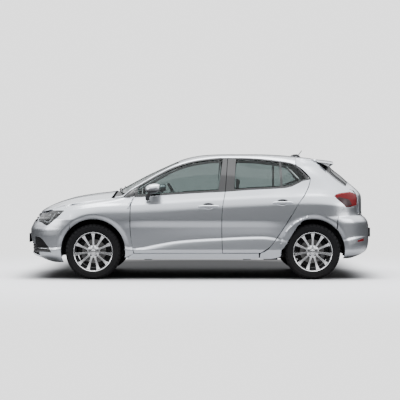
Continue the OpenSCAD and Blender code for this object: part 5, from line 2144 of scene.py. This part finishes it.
@dataclass
class Cabin:
    """Seats, dashboard, wheel, console, floor covering and pedals.

    Attributes:
        skin: The body surface.
    """

    skin: Skin

    @staticmethod
    def flat(x: float, y: float, z: float, degrees: float) -> Matrix:
        """A place for a seat cushion, its front end raised by an angle."""
        turn = Matrix.Rotation(math.radians(-degrees), 4, "Y")
        return Matrix.Translation(Vector((x, y, z)) * MM) @ turn

    @staticmethod
    def lean(x: float, y: float, z: float, degrees: float) -> Matrix:
        """A place for a back rest: turned about Y so that its show face looks forward."""
        turn = Matrix.Rotation(math.radians(degrees - 90), 4, "Y")
        return Matrix.Translation(Vector((x, y, z)) * MM) @ turn

    def front_seat(self, y: float, word: str, replaces: Sequence[str]) -> None:
        """One front seat."""
        maker = Maker("body")
        Cushion((510, 470, 108), 12, 34, 4).make(
            maker, f"seat_cushion_{word}", self.flat(36, y, 478, 5), replaces
        )
        Cushion((560, 455, 96), 12, 34, 5).make(
            maker, f"seat_back_{word}", self.lean(330, y, 740, 17)
        )
        Cushion((170, 250, 72), 14).make(
            maker, f"headrest_{word}", self.lean(430, y, 1090, 17)
        )
        posts = joined([
            tube([(405, y + s * 60, 970), (428, y + s * 60, 1060)], 6) for s in (-1, 1)
        ])
        maker.piece(f"headrest_posts_{word}", posts, CHROME, "seat_fabric")
        base = joined([
            block((-160, y - 200, 300), (250, y - 165, 420), 8),
            block((-160, y + 165, 300), (250, y + 200, 420), 8),
            block((-190, y - 205, 268), (290, y - 160, 292), 4),
            block((-190, y + 160, 268), (290, y + 205, 292), 4),
            block((-120, y - 180, 390), (230, y + 180, 424), 8),
        ])
        maker.piece(f"seat_base_{word}", base, CABIN, "black_plastic")

    def rear_bench(self) -> None:
        """Rear bench, its split back and three head restraints."""
        maker = Maker("body")
        Cushion((500, 1110, 120), 10, 10, 3).make(
            maker, "rear_cushion", self.flat(770, 0, 470, 6), ["rear_seat"]
        )
        for y, wide, word in ((-312, 410, "left"), (208, 610, "right")):
            Cushion((560, wide, 96), 12, 8, 4).make(
                maker, f"rear_back_{word}", self.lean(1035, y, 720, 21)
            )
        for y, word in ((-350, "left"), (0, "middle"), (350, "right")):
            Cushion((130, 230, 62), 12).make(
                maker, f"rear_headrest_{word}", self.lean(1135, y, 1022, 21)
            )
        maker.piece(
            "rear_seat_base", block((560, -520, 270), (1000, 520, 416), 20), CARPET, "underbody",
        )

    def dash(self) -> Net:
        """Dashboard with a hooded instrument panel, vents and a centre stack."""
        profile = [(-836, 640), (-838, 938), (-760, 958), (-640, 974), (-520, 980), (-462, 968),
                   (-436, 940), (-440, 900), (-470, 850), (-500, 790), (-560, 720), (-650, 650)]

        def place(u: Array, v: Array) -> Array:
            """Point round the section of the dashboard."""
            w = 2 * v - 1
            p = track(profile, u)
            hood = np.exp(-(((w * 650 + 350) / 190) ** 4))
            hood = hood * smooth_step(1 - np.abs((p[:, 0] + 520) / 130))
            z = p[:, 1] + 34 * hood * (p[:, 1] > 930) - 18 * np.abs(w) ** 3 * (p[:, 1] > 900)
            centre = np.exp(-(((w * 650) / 150) ** 4))
            x = p[:, 0] + 26 * centre * (p[:, 0] > -520)
            return np.stack([x, w * 652, z], 1)
        return sheet(place, 60, 110)

    def build(self) -> None:
        """Makes the cabin."""
        maker = Maker("body")
        maker.piece(
            "dashboard_skin", self.dash(), CABIN, "black_plastic", replaces=["dashboard"], wall=6,
        )
        vents = []
        for y in (-585, -110, 110, 585):
            vents.append(block((-452, y - 62, 884), (-428, y + 62, 934), 6))
            for k in range(4):
                vents.append(block((-430, y - 56, 890 + 11 * k), (-422, y + 56, 893 + 11 * k), 0))
        vents.append(block((-444, -100, 770), (-404, 100, 872), 6))
        vents.append(block((-520, -90, 560), (-440, 90, 740), 12))
        maker.piece("dash_vents", joined(vents), GLOSS, "black_plastic")
        console = joined([
            block((-500, -110, 340), (260, 110, 440), 18),
            block((-60, -90, 440), (250, 90, 560), 22),
            tube([(-240, 0, 440), (-232, 0, 500), (-220, 0, 545)], 9),
            block((-244, -22, 540), (-196, 22, 592), 10),
            block((-50, 30, 560), (200, 60, 600), 10),
        ])
        maker.piece("console", console, CABIN, "black_plastic")
        pedals = []
        for y in (-430, -345, -262):
            pedals.append(block((-690, y - 28, 340), (-678, y + 28, 410), 4))
            pedals.append(tube([(-690, y, 400), (-760, y, 560), (-800, y, 640)], 7))
        maker.piece("pedals", joined(pedals), CABIN, "black_plastic")
        carpet = joined([
            block((-836, -672, 271), (460, -142, 279), 2),
            block((-836, 142, 271), (460, 672, 279), 2),
            block((-646, -142, 351), (560, 142, 357), 2),
            block((764, -530, 331), (1820, 530, 339), 2),
        ])
        maker.piece("carpet", carpet, CARPET, "underbody")
        for y, word, nodes in ((-350, "left", ["front_seats"]), (350, "right", [])):
            self.front_seat(y, word, nodes)
        self.rear_bench()
        self.wheel()
        mirror = joined([
            block((-350, -110, 1292), (-330, 110, 1350), 10),
            tube([(-330, 0, 1330), (-316, 0, 1362)], 7),
        ])
        maker.piece("inside_mirror", mirror, TRIM, "black_plastic")
        maker.piece("roof_lining", self.lining(), CABIN, "seat_fabric", wall=6)

    def lining(self) -> Net:
        """Cloth lining under the roof."""
        def place(u: Array, v: Array) -> Array:
            """Point of the lining, under the roof."""
            w = 2 * v - 1
            x = -225 + 1590 * u
            return self.skin.top(x, w * (self.skin.edge_y(x) - 40), -38)
        return sheet(place, 30, 20)

    def wheel(self) -> None:
        """Steering wheel with three spokes and a plain boss."""
        parts = []
        turns = np.linspace(0, 2 * math.pi, 73)[:-1]
        rim = [(math.cos(a) * 172, math.sin(a) * 172, 0) for a in turns]
        parts.append(tube(rim, 15, closed=True, sides=14))
        parts.append(spun([(0.5, 18), (40, 17), (58, 12), (64, 2), (60, -18), (0.5, -22)], 48))
        parts.append(spun([(0.5, -20), (24, -20), (24, -108), (0.5, -108)], 32))
        for a in (90, 180, 270):
            parts.append(turned(block((50, -20, -8), (162, 20, 5), 5), a))
        shape = joined(parts)
        joint = next(j for j in frame["joints"] if j["name"] == "steering_wheel_turn")
        axis = Vector(joint["axis"])
        turn = Matrix.Rotation(math.atan2(axis.x, axis.z), 4, "Y")
        bmesh.ops.transform(
            shape, matrix=Matrix.Translation(Vector(joint["pos_m"])) @ turn, verts=shape.verts
        )
        Maker("steering_wheel").piece(
            "steering_wheel_rim", shape, LEATHER, "black_plastic", replaces=["steering_wheel"],
            edge=1,
        )


# ---- running gear and floor --------------------------------------------------


@dataclass
class Underbody:
    """Dresses the CAD nodes that show as they are."""

    def build(self) -> None:
        """Gives each carried-over node its finish."""
        maker = Maker("body")
        for node, finish, edge in (
            ("floor_pan", UNDER, 2), ("engine_block", CAST, 8), ("front_suspension", UNDER, 4),
            ("rear_axle", UNDER, 5), ("exhaust", STEEL, 2), ("fuel_tank", TRIM, 12),
            ("knuckle_left", CAST, 4), ("knuckle_right", CAST, 4),
        ):
            maker.dress(node, finish, edge)


# ---- studio ------------------------------------------------------------------


# Place, size and power of each soft light, in metres and watts
LIGHTS = (
    ((0, 0, 6.5), (7, 4), 420), ((-1, -5, 8), (6, 2), 60),
    ((-7, -3, 2.5), (4, 3), 120), ((7, -3, 2.5), (4, 3), 120),
)
# Brightness of the sky by height, from the horizon, 0, to straight above, 1
SKY = ((0.0, 0.03), (0.14, 0.10), (0.32, 1.75), (1.0, 2.50))


@dataclass
class Studio:
    """Floor, light and camera.

    Attributes:
        eye: Place of the camera.
        lens: Focal length, in millimetres on a 36 mm sensor.
        down: Downward tilt, in degrees.
        turn: Turn to the left, in degrees.
        backdrop: Brightness of the backdrop and of the far floor.
        pale: Grey of the floor near the car.
    """

    eye: Tuple[float, float, float] = (0.068, -13.36, 1.076)
    lens: float = 96.98
    down: float = 0.691
    turn: float = 0.266
    backdrop: float = 2.1
    pale: float = 0.90

    def camera(self) -> None:
        """Makes the camera."""
        data = bpy.data.cameras.new("camera")
        data.lens = self.lens
        data.sensor_width = 36
        camera = bpy.data.objects.new("camera", data)
        camera.location = self.eye
        camera.rotation_euler = (math.radians(90 - self.down), 0, math.radians(self.turn))
        bpy.context.scene.collection.objects.link(camera)
        bpy.context.scene.camera = camera

    def floor(self) -> None:
        """Makes a wide pale floor, with a painted shadow under and behind the car and a darker
        floor for reflected and bounced rays.
        """
        bm = bmesh.new()
        bmesh.ops.create_circle(bm, cap_ends=True, segments=96, radius=90)
        mesh = bpy.data.meshes.new("floor")
        bm.to_mesh(mesh)
        bm.free()
        material = bpy.data.materials.new("studio_floor")
        material.use_nodes = True
        nodes, links = material.node_tree.nodes, material.node_tree.links
        add, link = nodes.new, links.new
        pale = nodes["Principled BSDF"]
        feed(pale, {"Roughness": 0.9, "Specular IOR Level": 0.1})
        place = add("ShaderNodeTexCoord")

        def vector(kind: str, source: Socket, other: Sequence[float]) -> bpy.types.Node:
            """One step on a place on the floor."""
            node = add("ShaderNodeVectorMath")
            node.operation = kind
            node.inputs[1].default_value = other
            link(source, node.inputs[0])
            return node

        def ease(source: Socket, start: float, end: float) -> Socket:
            """A soft step between two distances, in metres."""
            node = add("ShaderNodeMapRange")
            node.interpolation_type = "SMOOTHSTEP"
            feed(node, {"From Min": start, "From Max": end})
            link(source, node.inputs["Value"])
            return node.outputs[0]

        def shade(source: Socket, low: object, high: object) -> Socket:
            """A colour between two greys or colours."""
            node = add("ShaderNodeMix")
            node.data_type = "RGBA"
            link(source, node.inputs["Factor"])
            for name, value in (("A", low), ("B", high)):
                if isinstance(value, float):
                    node.inputs[name].default_value = (value, value, value * 1.02, 1)
                else:
                    link(value, node.inputs[name])
            return node.outputs["Result"]

        # Painted shadow: a soft-edged dark box on the floor under the car, from y -0.5 to 2.5 m
        beyond = vector("SUBTRACT", place.outputs["Object"], (0, 1.0, 0))
        beyond = vector("ABSOLUTE", beyond.outputs[0], (0, 0, 0))
        beyond = vector("SUBTRACT", beyond.outputs[0], (1.72, 1.50, 0))
        beyond = vector("MAXIMUM", beyond.outputs[0], (0, 0, 0))
        beyond = vector("LENGTH", beyond.outputs[0], (0, 0, 0))
        under = ease(beyond.outputs["Value"], 0.0, 0.62)
        reach = vector("LENGTH", place.outputs["Object"], (0, 0, 0)).outputs["Value"]
        # Camera rays: pale floor, painted down to 0.035 in the shadow box
        link(shade(under, 0.035, self.pale), pale.inputs["Base Color"])
        # Reflected and bounced rays: a painted darker floor, 0.36 near, 0.025 far and 0.02 in the
        # shadow box, which darkens the body's reflections
        dim = add("ShaderNodeBsdfDiffuse")
        link(shade(ease(reach, 2.2, 4.2), shade(under, 0.02, 0.36), 0.025), dim.inputs["Color"])
        glow = add("ShaderNodeEmission")
        glow.inputs["Color"].default_value = (self.backdrop, self.backdrop, self.backdrop, 1)
        blend = add("ShaderNodeMixShader")
        link(ease(reach, 2.2, 5.5), blend.inputs[0])
        link(pale.outputs[0], blend.inputs[1])
        link(glow.outputs[0], blend.inputs[2])
        path = add("ShaderNodeLightPath")
        mix = add("ShaderNodeMixShader")
        link(path.outputs["Is Camera Ray"], mix.inputs[0])
        link(dim.outputs[0], mix.inputs[1])
        link(blend.outputs[0], mix.inputs[2])
        link(mix.outputs[0], nodes["Material Output"].inputs["Surface"])
        mesh.materials.append(material)
        floor = bpy.data.objects.new("floor", mesh)
        bpy.context.scene.collection.objects.link(floor)

    def sky(self) -> None:
        """Soft light from above, dimmer towards the horizon, with a pale backdrop."""
        world = bpy.data.worlds.new("studio")
        bpy.context.scene.world = world
        world.use_nodes = True
        nodes, links = world.node_tree.nodes, world.node_tree.links
        back = nodes["Background"]
        place = nodes.new("ShaderNodeTexCoord")
        split = nodes.new("ShaderNodeSeparateXYZ")
        ramp = nodes.new("ShaderNodeValToRGB")
        links.new(place.outputs["Generated"], split.inputs[0])
        links.new(split.outputs["Z"], ramp.inputs[0])
        while len(ramp.color_ramp.elements) < len(SKY):
            ramp.color_ramp.elements.new(0.5)
        for element, (at, level) in zip(ramp.color_ramp.elements, SKY):
            element.position = at
            element.color = (level * 0.985, level, level * 1.02, 1)
        links.new(ramp.outputs[0], back.inputs["Color"])
        plain = nodes.new("ShaderNodeBackground")
        plain.inputs["Color"].default_value = (self.backdrop, self.backdrop, self.backdrop, 1)
        path = nodes.new("ShaderNodeLightPath")
        either = nodes.new("ShaderNodeMath")
        either.operation = "MAXIMUM"
        links.new(path.outputs["Is Camera Ray"], either.inputs[0])
        links.new(path.outputs["Is Transmission Ray"], either.inputs[1])
        mix = nodes.new("ShaderNodeMixShader")
        links.new(either.outputs[0], mix.inputs[0])
        links.new(back.outputs[0], mix.inputs[1])
        links.new(plain.outputs[0], mix.inputs[2])
        links.new(mix.outputs[0], nodes["World Output"].inputs["Surface"])

    def lamp(self, place: Sequence[float], size: Tuple[float, float], watts: float) -> None:
        """Makes a soft rectangular light that faces the car."""
        data = bpy.data.lights.new("softbox", "AREA")
        data.shape = "RECTANGLE"
        data.size, data.size_y = size
        data.energy = watts
        light = bpy.data.objects.new("softbox", data)
        light.location = place
        aim = Vector((0, 0, 0.5)) - Vector(place)
        light.rotation_euler = aim.to_track_quat("-Z", "Y").to_euler()
        bpy.context.scene.collection.objects.link(light)

    def build(self) -> None:
        """Makes the studio."""
        self.camera()
        self.floor()
        self.sky()
        for place, size, watts in LIGHTS:
            self.lamp(place, size, watts)


def main() -> None:
    """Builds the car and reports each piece."""
    logging.basicConfig(level=logging.INFO, format="%(name)s: %(message)s")
    low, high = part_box("tyre_front_left")
    rear_low, rear_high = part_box("tyre_rear_left")
    door_low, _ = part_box("door_front_left")
    skin = Skin(
        front_x=(low.x + high.x) / 2 / MM, rear_x=(rear_low.x + rear_high.x) / 2 / MM,
        half_w=-door_low.y / MM,
    )
    Studio().build()
    BodySides(skin).build()
    for side in Side:
        for end in ("front", "rear"):
            Door(skin, end, side).build()
        Mirror(side).build()
    TopPanels(skin).build()
    Nose(skin).build()
    Tail(skin).build()
    for end in ("front", "rear"):
        for side in Side:
            word = f"{end}_{side.name.lower()}"
            corner_low, corner_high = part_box(f"tyre_{word}")
            hub = (corner_low + corner_high) / 2
            Wheel(word, side, hub).build()
            body = f"knuckle_{side.name.lower()}" if end == "front" else "body"
            Caliper(body, side, hub, CALIPER_TURN[end]).build()
    Cabin(skin).build()
    Underbody().build()


if __name__ == "__main__":
    main()
